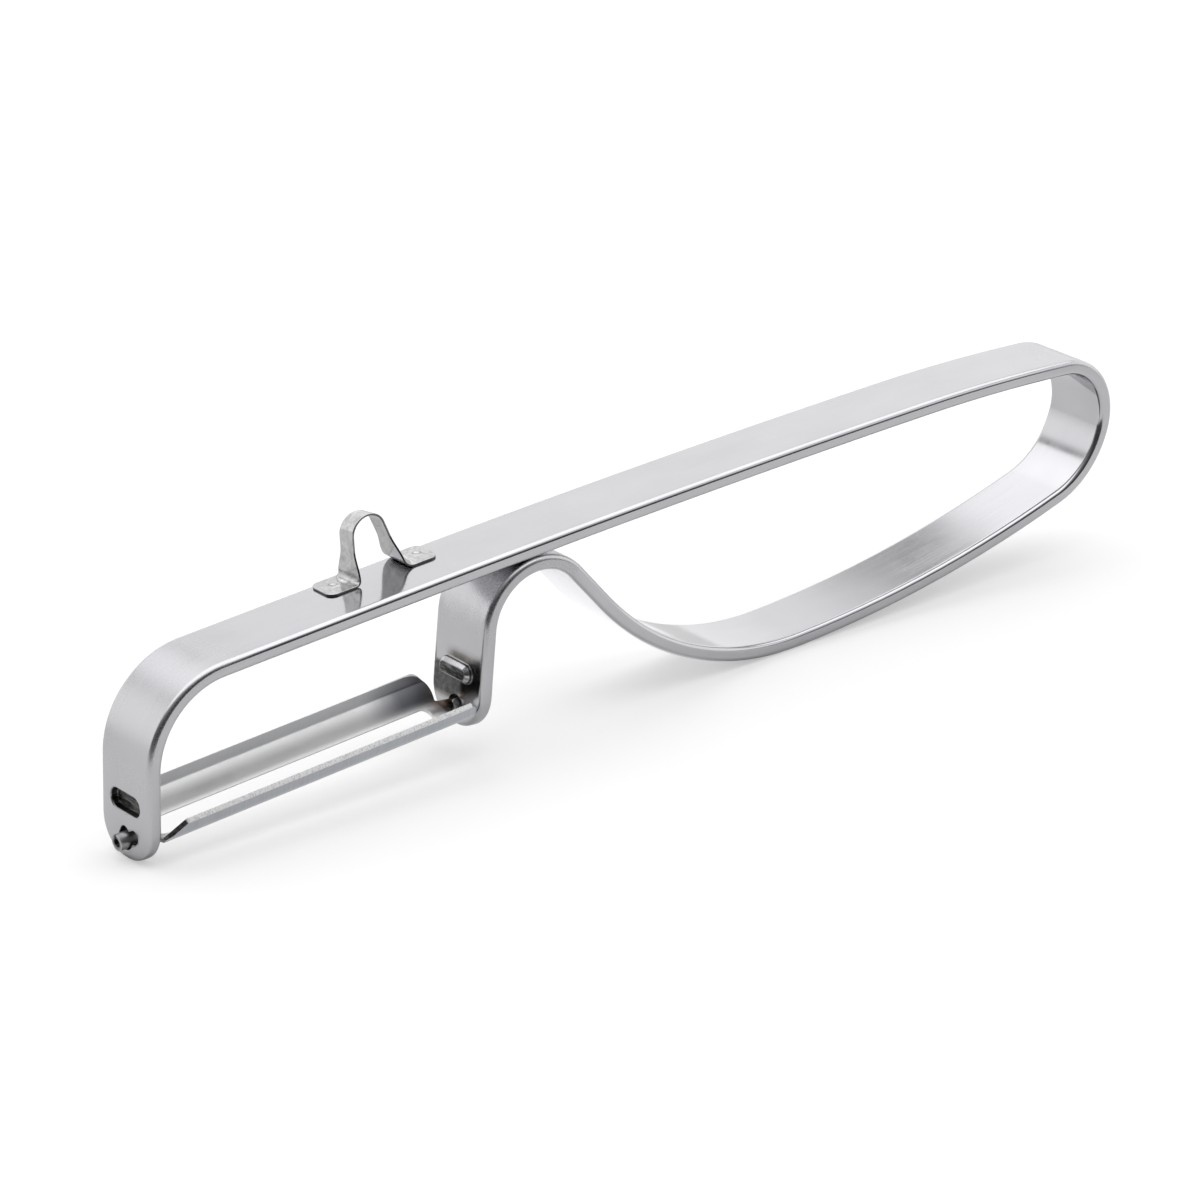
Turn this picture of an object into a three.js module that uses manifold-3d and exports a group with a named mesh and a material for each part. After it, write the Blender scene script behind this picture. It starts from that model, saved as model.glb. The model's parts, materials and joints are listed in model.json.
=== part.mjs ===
// Potato peeler: one bent steel strip as frame and handle, a swivelling blade and a welded eye remover.
// Millimetres, +Z up, +X from the front leg to the handle's rear bend.
// It stands on its front leg and its belly.
import * as THREE from 'three';
import { mergeVertices } from 'three/addons/utils/BufferGeometryUtils.js';
import Module from 'manifold-3d';

const wasm = await Module();
wasm.setup();

// Strip section
const stripWidth = 10.7;
const stripThickness = 2.15;
const stripEdge = 0.68;
const legEndRadius = 5;

// Bends of the strip, as centre-line radii and angles in degrees, from the front leg to the rear leg
const frontBendRadius = 11.95;
const frontBendAngle = 84.6;
const topLength = 148.11;
const topStraight = 29.4;
const archAngle = 2.18;
const shoulderRadius = 327;
const shoulderAngle = 4.8;
const rearBendRadius = 8.7;
const rearBendAngle = 103;
const heelRadius = 12.7;
const heelAngle = 56.6;
const palmAngle = 14.5;
const riserLength = 7.7;
const humpRadius = 8.35;
const humpAngle = 133.7;
const rearLegLean = 9.1;

// Where the hump bears on the underside of the top, along the top, and its spot weld
const humpAlongTop = 50.4;
const humpSeam = 0.1;
const humpWeldRadius = 1.8;

// Pivots and swing stops in the two legs
const pinDrop = 20.95;
const pinToLegEnd = 2.75;
const pinRadius = 1.15;
const pinClearance = 0.3;
const pinTail = 1.3;
const pinSeam = 0.4;
const keyholeRadius = 0.95;
const keyholeUp = 0.8;
const keyholeFar = 0.15;
const keyholeNear = 1.85;
const stopAbovePin = 5.05;
const stopLength = 6.4;
const stopHeight = 2.65;
const stopProud = 1;
const stopChamfer = 0.55;
const stopRecess = 1.1;

// Blade sheet, as formed, with heights taken from the pin axis
const bladeSheet = 0.55;
const bladeWidth = 9.25;
const bladeEndGap = 0.5;
const rimTop = 4.55;
const rimHeight = 2;
const rimGrind = 0.45;
const creaseRadius = 0.5;
const creaseAngle = 62;
const flankAngle = 20;
const floorRadius = 3;
const slotFarSide = 1.4;
const slotNearSide = 3.4;
const slotToFront = 1.7;
const slotToRear = 3.2;
const slotCorner = 1.2;
const frontCutLength = 3.3;
const frontCutDrop = 2;
const rearFarRadius = 4.6;
const rearFarBack = 1.7;
const rearNearCut = 0.9;
const neckWidth = 2;
const neckLength = 1.4;
const bladeTilt = 20;

// Eye remover: a thin strip bent to a loop with two feet
const eyeSheet = 0.5;
const eyeWidth = 4.7;
const eyeLoopWidth = 2.9;
const eyeTaperHeight = 4;
const eyeAcross = 2.65;
const eyeAlongTop = 25.6;
const eyeLegHeight = 5.6;
const eyeTopRadius = 2.55;
const eyeSlopeAngle = 70;
const eyeFrontBendRadius = 0.6;
const eyeRearBendRadius = 1.9;
const eyeFrontFoot = 4.3;
const eyeRearFoot = 3.9;
const eyeFall = 0.08;
const eyeFootCorner = 1.2;
const eyeSeam = 0.3;

// Fineness of the facets
const arcStepAngle = 7;
const arcSag = 0.006;
const margin = 1;

// Headings and left-hand normals in a plane of two axes, angles in degrees
const radians = THREE.MathUtils.degToRad;
const along = (heading) => new THREE.Vector2(Math.cos(radians(heading)), Math.sin(radians(heading)));
const leftOf = (heading) => new THREE.Vector2(-Math.sin(radians(heading)), Math.cos(radians(heading)));

// Steps of a path: straight runs, and bends that turn to the left or to the right
const straight = (length) => ({ length });
const turnLeft = (radius, angle) => ({ radius, angle });
const turnRight = (radius, angle) => ({ radius, angle: -angle });

// The way from one end of a bend of radius 1 to the other
const turnSpan = (heading, angle) => {
  const way = leftOf(heading).sub(leftOf(heading + angle));
  return way.multiplyScalar(Math.sign(angle));
};

// Walks the steps and returns points with their headings
function walk(start, startHeading, steps) {
  const path = [{ point: start.clone(), heading: startHeading }];
  let point = start.clone();
  let heading = startHeading;
  for (const step of steps) {
    if (step.length !== undefined) {
      point = point.clone().addScaledVector(along(heading), step.length);
      path.push({ point, heading });
      continue;
    }
    const side = Math.sign(step.angle);
    const centre = point.clone().addScaledVector(leftOf(heading), side * step.radius);
    const turn = radians(Math.abs(step.angle));
    const bySag = turn / Math.sqrt(8 * arcSag / step.radius);
    const count = Math.ceil(Math.max(Math.abs(step.angle) / arcStepAngle, bySag));
    for (let i = 1; i <= count; i += 1) {
      const now = heading + step.angle * i / count;
      path.push({ point: centre.clone().addScaledVector(leftOf(now), -side * step.radius), heading: now });
    }
    heading += step.angle;
    point = path.at(-1).point.clone();
  }
  return path;
}

// Points beside a path, to the left by a distance
function beside(path, distance) {
  return path.map((p) => p.point.clone().addScaledVector(leftOf(p.heading), distance));
}

// Closed outline of a sheet of even thickness along a path
const sheetShape = (path, thickness) => new THREE.Shape([
  ...beside(path, thickness / 2),
  ...beside(path, -thickness / 2).reverse(),
]);

// Solid of a side outline (x and z), extruded across the part about a middle y, with rounded long edges
function acrossSolid(shape, width, edge, middle) {
  const geometry = new THREE.ExtrudeGeometry(shape, {
    depth: width - 2 * edge,
    steps: 1,
    bevelEnabled: edge > 0,
    bevelThickness: edge,
    bevelSize: edge,
    bevelOffset: -edge,
    bevelSegments: 2,
  });
  geometry.rotateX(Math.PI / 2);
  geometry.translate(0, middle + width / 2 - edge, 0);
  return solidOf(geometry);
}

// Solid of an outline in a plane, extruded between two distances along that plane's normal
function prism(shape, plane, from, to, chamfer = 0) {
  const geometry = new THREE.ExtrudeGeometry(shape, {
    depth: to - from - chamfer,
    steps: 1,
    curveSegments: 10,
    bevelEnabled: chamfer > 0,
    bevelThickness: chamfer,
    bevelSize: chamfer,
    bevelOffset: -chamfer,
    bevelSegments: 1,
  });
  geometry.translate(0, 0, from);
  geometry.applyMatrix4(plane);
  return solidOf(geometry);
}

// Closed geometry to a solid for cutting and joining, and back
function solidOf(geometry) {
  const bare = geometry.index ? geometry.toNonIndexed() : geometry;
  bare.deleteAttribute('normal');
  bare.deleteAttribute('uv');
  const merged = mergeVertices(bare, 1e-4);
  return new wasm.Manifold(new wasm.Mesh({
    numProp: 3,
    vertProperties: new Float32Array(merged.attributes.position.array),
    triVerts: new Uint32Array(merged.index.array),
  }));
}
function geometryOf(solid) {
  const mesh = solid.getMesh();
  const geometry = new THREE.BufferGeometry();
  geometry.setAttribute('position', new THREE.BufferAttribute(new Float32Array(mesh.vertProperties), 3));
  geometry.setIndex(new THREE.BufferAttribute(new Uint32Array(mesh.triVerts), 1));
  geometry.computeVertexNormals();
  return geometry;
}

// Outlines used more than once
function obround(length, height) {
  const end = height / 2;
  const reach = length / 2 - end;
  const shape = new THREE.Shape();
  shape.absarc(reach, 0, end, -Math.PI / 2, Math.PI / 2, false);
  shape.absarc(-reach, 0, end, Math.PI / 2, 3 * Math.PI / 2, false);
  return shape;
}
function disc(radius, x = 0, y = 0) {
  const shape = new THREE.Shape();
  shape.absarc(x, y, radius, 0, 2 * Math.PI, false);
  return shape;
}
function roundedBox(lowX, highX, lowY, highY, radius) {
  const shape = new THREE.Shape();
  shape.absarc(highX - radius, lowY + radius, radius, -Math.PI / 2, 0, false);
  shape.absarc(highX - radius, highY - radius, radius, 0, Math.PI / 2, false);
  shape.absarc(lowX + radius, highY - radius, radius, Math.PI / 2, Math.PI, false);
  shape.absarc(lowX + radius, lowY + radius, radius, Math.PI, 1.5 * Math.PI, false);
  return shape;
}

// What rounds off a corner that points to the given sides
function cornerCut(cornerX, cornerY, sideX, sideY, radius) {
  const shape = new THREE.Shape();
  shape.moveTo(-radius, margin);
  shape.lineTo(margin, margin);
  shape.lineTo(margin, -radius);
  shape.lineTo(0, -radius);
  shape.absarc(-radius, -radius, radius, 0, Math.PI / 2, false);
  const points = shape.getPoints(10);
  return new THREE.Shape(points.map((p) => new THREE.Vector2(cornerX + sideX * p.x, cornerY + sideY * p.y)));
}

// Path of the strip, with the top's centre line at z 0 and its straight run starting at x 0
const frontLegHeading = frontBendAngle;
const frontBendEnd = turnSpan(frontLegHeading, -frontBendAngle).multiplyScalar(-frontBendRadius);
const frontToPin = (pinDrop + frontBendEnd.y) / Math.sin(radians(frontLegHeading));
const frontLegLength = frontToPin + pinToLegEnd;
const frontLegEnd = frontBendEnd.clone().addScaledVector(along(frontLegHeading), -frontLegLength);

// The arch takes up what the straight run and the shoulder leave of the top's length
const shoulderLength = shoulderRadius * radians(shoulderAngle);
const archRadius = (topLength - topStraight - shoulderLength) / radians(archAngle);

// The top's centre point and heading at a distance along it
function topAt(distance) {
  const bend = Math.max(0, distance - topStraight) / archRadius;
  const heading = -THREE.MathUtils.radToDeg(bend);
  const point = new THREE.Vector2(Math.min(distance, topStraight), 0);
  point.addScaledVector(turnSpan(0, heading || -Number.EPSILON), archRadius);
  return { point, heading };
}

// The hump lies under the top, and the two long bends below the hand close the loop
const humpTop = topAt(humpAlongTop);
const humpDrop = stripThickness + humpSeam + humpRadius;
const humpCentre = humpTop.point.clone().addScaledVector(leftOf(humpTop.heading), -humpDrop);
const rearLegHeading = -90 - rearLegLean;
const riserHeading = rearLegHeading - humpAngle;
const riserEnd = humpCentre.clone().addScaledVector(leftOf(riserHeading), -humpRadius);
const riserStart = riserEnd.clone().addScaledVector(along(riserHeading), -riserLength);
const humpEnd = humpCentre.clone().addScaledVector(leftOf(rearLegHeading), -humpRadius);
const rearToPin = (humpEnd.y + pinDrop) / Math.cos(radians(rearLegLean));
const rearLegLength = rearToPin + pinToLegEnd;

const topAndRear = [
  straight(topStraight),
  turnRight(archRadius, archAngle),
  turnRight(shoulderRadius, shoulderAngle),
  turnRight(rearBendRadius, rearBendAngle),
  turnRight(heelRadius, heelAngle),
];
const heelEnd = walk(new THREE.Vector2(0, 0), 0, topAndRear).at(-1);
const bellyAngle = heelEnd.heading - riserHeading - palmAngle;
const palmSpan = turnSpan(heelEnd.heading, -palmAngle);
const bellySpan = turnSpan(heelEnd.heading - palmAngle, -bellyAngle);
const closing = riserStart.clone().sub(heelEnd.point);
const crossing = palmSpan.cross(bellySpan);
const palmRadius = closing.cross(bellySpan) / crossing;
const bellyRadius = palmSpan.cross(closing) / crossing;

const stripPath = walk(frontLegEnd, frontLegHeading, [
  straight(frontLegLength),
  turnRight(frontBendRadius, frontBendAngle),
  ...topAndRear,
  turnRight(palmRadius, palmAngle),
  turnRight(bellyRadius, bellyAngle),
  straight(riserLength),
  turnLeft(humpRadius, humpAngle),
  straight(rearLegLength),
]);
const rearLegEnd = stripPath.at(-1).point;

// Plane of a leg: across the strip, up the leg and out of its outer face, from the middle of the leg's end
function legPlane(end, upHeading, outSide) {
  const up = new THREE.Vector3(along(upHeading).x, 0, along(upHeading).y);
  const out = new THREE.Vector3(leftOf(upHeading).x, 0, leftOf(upHeading).y).multiplyScalar(outSide);
  const across = new THREE.Vector3().crossVectors(up, out);
  return new THREE.Matrix4().makeBasis(across, up, out).setPosition(end.x, 0, end.y);
}
const frontLeg = legPlane(frontLegEnd, frontLegHeading, 1);
const rearLeg = legPlane(rearLegEnd, rearLegHeading + 180, -1);

// The pin axis runs along the top, through the middle of both legs
const pinAt = (end, upHeading) => end.clone().addScaledVector(along(upHeading), pinToLegEnd).x;
const frontPin = pinAt(frontLegEnd, frontLegHeading);
const rearPin = pinAt(rearLegEnd, rearLegHeading + 180);
const halfWall = (lean) => stripThickness / 2 / Math.cos(radians(lean));
const frontFace = frontPin + halfWall(90 - frontLegHeading);
const rearFace = rearPin - halfWall(rearLegLean);
const bladeMiddle = (frontFace + rearFace) / 2;
const bladeHalf = (rearFace - frontFace) / 2 - bladeEndGap;
const pinPlane = new THREE.Matrix4().makeBasis(
  new THREE.Vector3(0, 1, 0),
  new THREE.Vector3(0, 0, 1),
  new THREE.Vector3(1, 0, 0),
);
const axisPlane = pinPlane.clone().setPosition(bladeMiddle, 0, -pinDrop);

function frameStrip() {
  let solid = acrossSolid(sheetShape(stripPath, stripThickness), stripWidth, stripEdge, 0);
  const half = stripThickness / 2;
  const stop = obround(stopLength, stopHeight);
  const hole = pinRadius + pinClearance;
  const wall = half + margin + stripThickness;
  for (const [leg, pin] of [[frontLeg, frontPin], [rearLeg, rearPin]]) {
    for (const side of [-1, 1]) {
      const corner = cornerCut(side * stripWidth / 2, 0, side, -1, legEndRadius);
      solid = solid.subtract(prism(corner, leg, -half - margin, half + margin));
    }
    const upToStop = new THREE.Matrix4().makeTranslation(0, pinToLegEnd + stopAbovePin, 0);
    const stopPlane = leg.clone().multiply(upToStop);
    const inward = stopPlane.clone().multiply(new THREE.Matrix4().makeRotationY(Math.PI));
    solid = solid.add(prism(stop, inward, 0, half + stopProud, stopChamfer));
    solid = solid.subtract(prism(stop, stopPlane, half - stopRecess, half + margin));
    const pivot = pinPlane.clone().setPosition(pin, 0, -pinDrop);
    solid = solid.subtract(prism(disc(hole), pivot, -wall, wall));
  }
  const frontPivot = pinPlane.clone().setPosition(frontPin, 0, -pinDrop);
  for (const across of [keyholeFar, -keyholeNear]) {
    solid = solid.subtract(prism(disc(keyholeRadius, across, keyholeUp), frontPivot, -wall, wall));
  }
  const weldTop = humpTop.point.clone().addScaledVector(leftOf(humpTop.heading), -half);
  const weld = new THREE.CylinderGeometry(humpWeldRadius, humpWeldRadius, humpSeam + 2 * half, 16);
  weld.rotateX(Math.PI / 2);
  weld.translate(weldTop.x, 0, weldTop.y - humpSeam / 2);
  return solid.add(solidOf(weld));
}

// Blade section across the pin axis: upright rim, a flank that swells inwards and a rounded floor
function bladeSection() {
  const rimMiddle = (bladeWidth - bladeSheet) / 2;
  const floorAngle = 90 - creaseAngle + flankAngle;
  const crease = turnSpan(-90, -creaseAngle).multiplyScalar(creaseRadius);
  const floor = turnSpan(-180 + floorAngle, -floorAngle).multiplyScalar(floorRadius);
  const flankRadius = -(rimMiddle + crease.x + floor.x) / turnSpan(-90 - creaseAngle, flankAngle).x;
  return walk(new THREE.Vector2(rimMiddle, rimTop), -90, [
    straight(rimHeight),
    turnRight(creaseRadius, creaseAngle),
    turnLeft(flankRadius, flankAngle),
    turnRight(floorRadius, 2 * floorAngle),
    turnLeft(flankRadius, flankAngle),
    turnRight(creaseRadius, creaseAngle),
    straight(rimHeight),
  ]);
}

// Solid of a cut in the side view, through one side of the blade
function sideCut(shape, side) {
  return acrossSolid(shape, bladeWidth / 2, 0, side * (bladeWidth / 4 + bladeSheet / 2));
}

// What cuts a rim's end on a slant
function slantCut(end, length, drop) {
  const past = bladeHalf + margin;
  const slope = drop / length;
  return new THREE.Shape([
    new THREE.Vector2(end * (bladeHalf - length - margin), rimTop + slope * margin),
    new THREE.Vector2(end * past, rimTop - drop - slope * margin),
    new THREE.Vector2(end * past, rimTop + slope * margin),
  ]);
}

// What grinds a rim's top to an edge, on the outside of one rim
function rimGround(side) {
  const outer = bladeWidth / 2;
  const inner = outer - bladeSheet;
  const slope = rimGrind / bladeSheet;
  const shape = new THREE.Shape([
    new THREE.Vector2(side * inner, rimTop),
    new THREE.Vector2(side * (outer + margin), rimTop - rimGrind - slope * margin),
    new THREE.Vector2(side * (outer + margin), rimTop + margin),
    new THREE.Vector2(side * inner, rimTop + margin),
  ]);
  return prism(shape, pinPlane, -bladeHalf - margin, bladeHalf + margin);
}

function swivelBlade() {
  const section = bladeSection();
  const floor = section[Math.floor(section.length / 2)].point.y;
  let solid = prism(sheetShape(section, bladeSheet), pinPlane, -bladeHalf, bladeHalf);
  const slotFront = slotToFront - bladeHalf;
  const slotRear = bladeHalf - slotToRear;
  const slot = roundedBox(slotFront, slotRear, -slotNearSide, slotFarSide, slotCorner);
  solid = solid.subtract(prism(slot, new THREE.Matrix4(), floor - bladeSheet - margin, rimTop));
  for (const side of [-1, 1]) {
    solid = solid.subtract(rimGround(side));
    solid = solid.subtract(sideCut(slantCut(-1, frontCutLength, frontCutDrop), side));
  }
  const farEnd = bladeHalf - rearFarBack;
  solid = solid.subtract(sideCut(cornerCut(farEnd, rimTop, 1, 1, rearFarRadius), 1));
  const farGap = new THREE.Shape([
    new THREE.Vector2(farEnd, rimTop - rearFarRadius),
    new THREE.Vector2(bladeHalf + margin, rimTop - rearFarRadius),
    new THREE.Vector2(bladeHalf + margin, rimTop + margin),
    new THREE.Vector2(farEnd, rimTop + margin),
  ]);
  solid = solid.subtract(sideCut(farGap, 1));
  solid = solid.subtract(sideCut(slantCut(1, rearNearCut, rearNearCut), -1));
  for (const end of [-1, 1]) {
    const neck = new THREE.BoxGeometry(neckLength, neckWidth, -floor);
    neck.translate(end * (bladeHalf - neckLength / 2), 0, floor / 2);
    solid = solid.add(solidOf(neck));
    const legWall = end < 0 ? frontFace - frontPin : rearPin - rearFace;
    const tip = bladeHalf + bladeEndGap + 2 * legWall + pinTail;
    const root = bladeHalf - neckLength;
    const roll = prism(disc(pinRadius), pinPlane, root, tip);
    const bore = prism(disc(pinRadius - bladeSheet), pinPlane, bladeHalf, tip + margin);
    const seam = new THREE.BoxGeometry(tip - bladeHalf, pinSeam, pinRadius + margin);
    seam.translate((tip + bladeHalf) / 2 + margin, 0, (pinRadius + margin) / 2);
    const pin = roll.subtract(bore).subtract(solidOf(seam));
    solid = solid.add(end < 0 ? pin.rotate([0, 0, 180]) : pin);
  }
  return solid;
}

// The eye remover's far leg slopes down to a foot at the same height as the first.
// The loop narrows above its feet and falls a little towards its far edge.
function eyeRemover() {
  const foot = stripThickness / 2 + eyeSeam + eyeSheet / 2;
  const turn = 90 + eyeSlopeAngle;
  const rise = eyeFrontBendRadius + eyeLegHeight;
  const topFall = turnSpan(90, -turn).y * eyeTopRadius;
  const bendFall = turnSpan(-eyeSlopeAngle, eyeSlopeAngle).y * eyeRearBendRadius;
  const slope = (rise + topFall + bendFall) / Math.sin(radians(eyeSlopeAngle));
  const startX = eyeAlongTop - eyeFrontBendRadius - eyeFrontFoot;
  const path = walk(new THREE.Vector2(startX, foot), 0, [
    straight(eyeFrontFoot),
    turnLeft(eyeFrontBendRadius, 90),
    straight(eyeLegHeight),
    turnRight(eyeTopRadius, turn),
    straight(slope),
    turnLeft(eyeRearBendRadius, eyeSlopeAngle),
    straight(eyeRearFoot),
  ]);
  const solid = acrossSolid(sheetShape(path, eyeSheet), eyeWidth, 0, eyeAcross);
  const endX = path.at(-1).point.x;
  const nearEdge = eyeAcross - eyeWidth / 2;
  const farEdge = eyeAcross + eyeWidth / 2;
  const plan = roundedBox(startX, endX, nearEdge, farEdge, eyeFootCorner);
  const height = foot + rise + eyeTopRadius + margin;
  const loopFoot = foot + eyeFrontBendRadius;
  const front = new THREE.Shape([
    new THREE.Vector2(nearEdge, 0),
    new THREE.Vector2(farEdge, 0),
    new THREE.Vector2(farEdge, loopFoot),
    new THREE.Vector2(eyeAcross + eyeLoopWidth / 2, loopFoot + eyeTaperHeight),
    new THREE.Vector2(eyeAcross + eyeLoopWidth / 2, height),
    new THREE.Vector2(eyeAcross - eyeLoopWidth / 2, height),
    new THREE.Vector2(eyeAcross - eyeLoopWidth / 2, loopFoot + eyeTaperHeight),
    new THREE.Vector2(nearEdge, loopFoot),
  ]);
  const taper = prism(front, pinPlane, startX - margin, endX + margin);
  const geometry = geometryOf(solid.intersect(prism(plan, new THREE.Matrix4(), 0, height)).intersect(taper));
  const corners = geometry.attributes.position;
  for (let i = 0; i < corners.count; i += 1) {
    const above = corners.getZ(i) - foot;
    const inward = (corners.getY(i) - nearEdge) / eyeWidth;
    corners.setZ(i, foot + above * (1 - eyeFall * inward));
  }
  geometry.computeVertexNormals();
  return geometry;
}

// It stands on the inner corner of the front leg's end and on the belly
const legFoot = beside(stripPath.slice(0, 1), -stripThickness / 2)[0];
const underside = beside(stripPath, stripThickness / 2);
const slopes = underside.slice(1).map((p) => (p.y - legFoot.y) / Math.max(p.x - legFoot.x, margin));
const standTilt = Math.atan(-Math.min(...slopes));

function steel(name, color, roughness) {
  return new THREE.MeshStandardMaterial({ name, color, roughness, metalness: 1 });
}
const brushed = steel('brushed_steel', 0xc9c9cc, 0.34);
const hardened = steel('blade_steel', 0xb9bcc0, 0.3);
const bright = steel('bright_steel', 0xd2d2d3, 0.22);

const strip = new THREE.Mesh(geometryOf(frameStrip()), brushed);
strip.name = 'frame_strip';
const blade = new THREE.Mesh(geometryOf(swivelBlade()), hardened);
blade.name = 'swivel_blade';
blade.position.set(bladeMiddle, 0, -pinDrop);
blade.rotation.x = radians(bladeTilt);
const eye = new THREE.Mesh(eyeRemover(), bright);
eye.name = 'eye_remover';

// The upright pose, with the middle of the length over the origin and the floor at z 0
const upright = new THREE.Group();
upright.add(strip, blade, eye);
upright.rotation.y = -standTilt;
upright.updateMatrixWorld(true);
const box = new THREE.Box3().setFromObject(upright, true);
upright.position.set(-(box.min.x + box.max.x) / 2, 0, -box.min.z);

const peeler = new THREE.Group();
peeler.add(upright);

export default peeler;
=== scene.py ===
# Potato peeler: one bent steel strip, a slotted swivel blade and a small eye remover on top of the strip.
import json
import math

import bpy
import numpy as np
from mathutils import Euler, Matrix, Vector
from mathutils.geometry import delaunay_2d_cdt


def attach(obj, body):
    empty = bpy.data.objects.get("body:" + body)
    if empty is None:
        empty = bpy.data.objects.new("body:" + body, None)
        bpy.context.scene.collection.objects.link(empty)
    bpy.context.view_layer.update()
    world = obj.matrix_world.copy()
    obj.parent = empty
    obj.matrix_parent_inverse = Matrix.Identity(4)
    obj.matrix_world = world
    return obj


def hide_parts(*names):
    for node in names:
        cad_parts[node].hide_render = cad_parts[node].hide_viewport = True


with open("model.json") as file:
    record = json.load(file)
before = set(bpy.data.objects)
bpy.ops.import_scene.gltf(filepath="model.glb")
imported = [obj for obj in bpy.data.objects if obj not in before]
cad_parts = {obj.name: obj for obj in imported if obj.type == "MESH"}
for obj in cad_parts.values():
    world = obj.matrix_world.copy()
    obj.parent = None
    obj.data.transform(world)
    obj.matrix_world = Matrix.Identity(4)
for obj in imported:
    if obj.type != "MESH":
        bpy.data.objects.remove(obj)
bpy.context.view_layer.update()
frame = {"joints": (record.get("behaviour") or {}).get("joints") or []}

# All sizes are in millimetres and degrees, and are scaled where Blender takes metres
MM = 0.001

# Strip section
STRIP_WIDTH = 10.7
STRIP_THICKNESS = 2.15
STRIP_EDGE = 0.68
LEG_END_RADIUS = 5.0

# Dulled steel at tight bends: least curvature in radians per millimetre, the reach of its fade past the bend,
# the spacing that it is worked out at, its share on the inner face, and the length from the rear leg's end
# where both faces are dulled alike
TIGHT_BEND = 0.05
DULL_REACH = 8.0
DULL_SPACING = 0.25
DULL_INSIDE = 0.15
DULL_BOTH_FACES = 33.4

# Bends of the strip, as centre-line radii and angles, from the front leg to the rear leg
FRONT_BEND_RADIUS = 11.95
FRONT_BEND_ANGLE = 84.6
TOP_STRAIGHT = 29.4
ARCH_RADIUS = 2400.0
ARCH_ANGLE = 2.18
SHOULDER_RADIUS = 327.0
SHOULDER_ANGLE = 4.8
REAR_BEND_RADIUS = 8.7
REAR_BEND_ANGLE = 103.0
HEEL_RADIUS = 12.7
HEEL_ANGLE = 56.6
PALM_ANGLE = 14.5
RISER_LENGTH = 7.7
HUMP_RADIUS = 8.35
HUMP_ANGLE = 133.7
REAR_LEG_LEAN = 9.1
HUMP_ALONG_TOP = 50.4
HUMP_SEAM = 0.1

# Pivot holes and swing stops in the two legs
PIN_DROP = 20.95
PIN_TO_LEG_END = 2.75
PIN_RADIUS = 1.15
PIN_CLEARANCE = 0.3
PIN_TAIL = 1.3
KEYHOLE_RADIUS = 0.95
KEYHOLE_UP = 0.8
KEYHOLE_FAR = 0.15
KEYHOLE_NEAR = 1.85
HOLE_EASE = 0.12
STOP_ABOVE_PIN = 5.05
STOP_LENGTH = 6.4
STOP_HEIGHT = 2.65
STOP_PROUD = 1.0
STOP_RECESS = 1.1
STOP_CHAMFER = 0.55
STOP_EASE = 0.11
STOP_FILLET = 0.25

# Darkened face of the rear leg, painted shade and dark reflection of the blade with a straw scorch tint:
# heights from the leg's end, the slope of its lower border towards the near edge, its reach to the far edge,
# which narrows between two heights, and the grid of points that carries it
SHADE_SCORCH_HIGH = 10.9
SHADE_SCORCH_HIGH_FADE = 1.4
SHADE_SCORCH_LOW = 3.4
SHADE_SCORCH_LOW_FADE = 1.0
SHADE_SCORCH_LOW_SLOPE = 0.55
SHADE_SCORCH_SLOPE_START = 1.0
SHADE_SCORCH_SLOPE_REACH = 5.0
SHADE_SCORCH_FAR = 2.8
SHADE_SCORCH_FAR_FADE = 2.0
SHADE_SCORCH_NARROWS = (7.0, 8.4)
SHADE_SCORCH_GRID = 0.6
SHADE_SCORCH_GRID_REACH = 4.5
SHADE_SCORCH_GRID_MARGIN = 1.0

# Blade sheet, as formed, with heights taken from the pin axis
BLADE_SHEET = 0.55
BLADE_EASE = 0.06
BLADE_WIDTH = 9.25
BLADE_END_GAP = 0.5
RIM_TOP = 4.55
RIM_HEIGHT = 2.0
RIM_GRIND = 0.45
CREASE_RADIUS = 0.5
CREASE_ANGLE = 62.0
FLANK_ANGLE = 20.0
FLOOR_RADIUS = 3.0
SLOT_FAR_SIDE = 1.4
SLOT_NEAR_SIDE = 3.4
SLOT_TO_FRONT = 1.7
SLOT_TO_REAR = 3.2
SLOT_CORNER = 1.2
# Painted highlight on the slot's rear edge and painted shade on its far edge
SLOT_REAR_HIGHLIGHT = 1.0
SLOT_FAR_SHADE = -0.35
FRONT_CUT_LENGTH = 3.3
FRONT_CUT_DROP = 2.0
FRONT_CUT_GRIND = 0.36
FRONT_CUT_MARGIN = 0.2
FRONT_CUT_END = 0.1
FRONT_CUT_FADE = 0.5
LEAST_SLANT = 0.35
REAR_FAR_RADIUS = 4.6
REAR_FAR_BACK = 1.7
REAR_NEAR_CUT = 0.9
NECK_LENGTH = 1.4
NOTCH_WIDTH = 0.5
RIM_CORNER = 0.6
END_CORNER = 0.3
NOTCH_CORNER = 0.2
NOTCH_LIP_CORNER = 0.15
TAB_CORNER = 0.12
ROLL_FAR_ANGLE = 125.0
ROLL_NEAR_ANGLE = 205.0
ROLL_END_SHARE = 0.6
TAB_BLEND = 0.4
BLADE_TILT = 20.0

# Looks of the blade: the rims, darker partly as painted shade, the painted shade and dark reflection of the
# rear leg, partly heat colour, at the rear end of the far wall, and the dirt with painted shade at the pins
CREASE_BLEND = 0.2
RIM_UNDERSIDE = 0.3
SHADE_HEAT_START = 12.5
SHADE_HEAT_FADE = 5.5
SHADE_HEAT_FROM_MIDDLE = 1.2
SHADE_HEAT_ACROSS = 1.5
SHADE_HEAT_LOST_AT_RIM = 0.45
BROWN_BACK = 0.4
BROWN_REACH = 1.7
# Dirt at the pins with painted shade, strongest inside the rolled tube
PIN_DARKENING_BACK = 0.6
PIN_DARKENING_FADE = 0.9
PIN_DARKENING_ABOVE = 0.4
PIN_DARKENING_BELOW = 0.9

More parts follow.
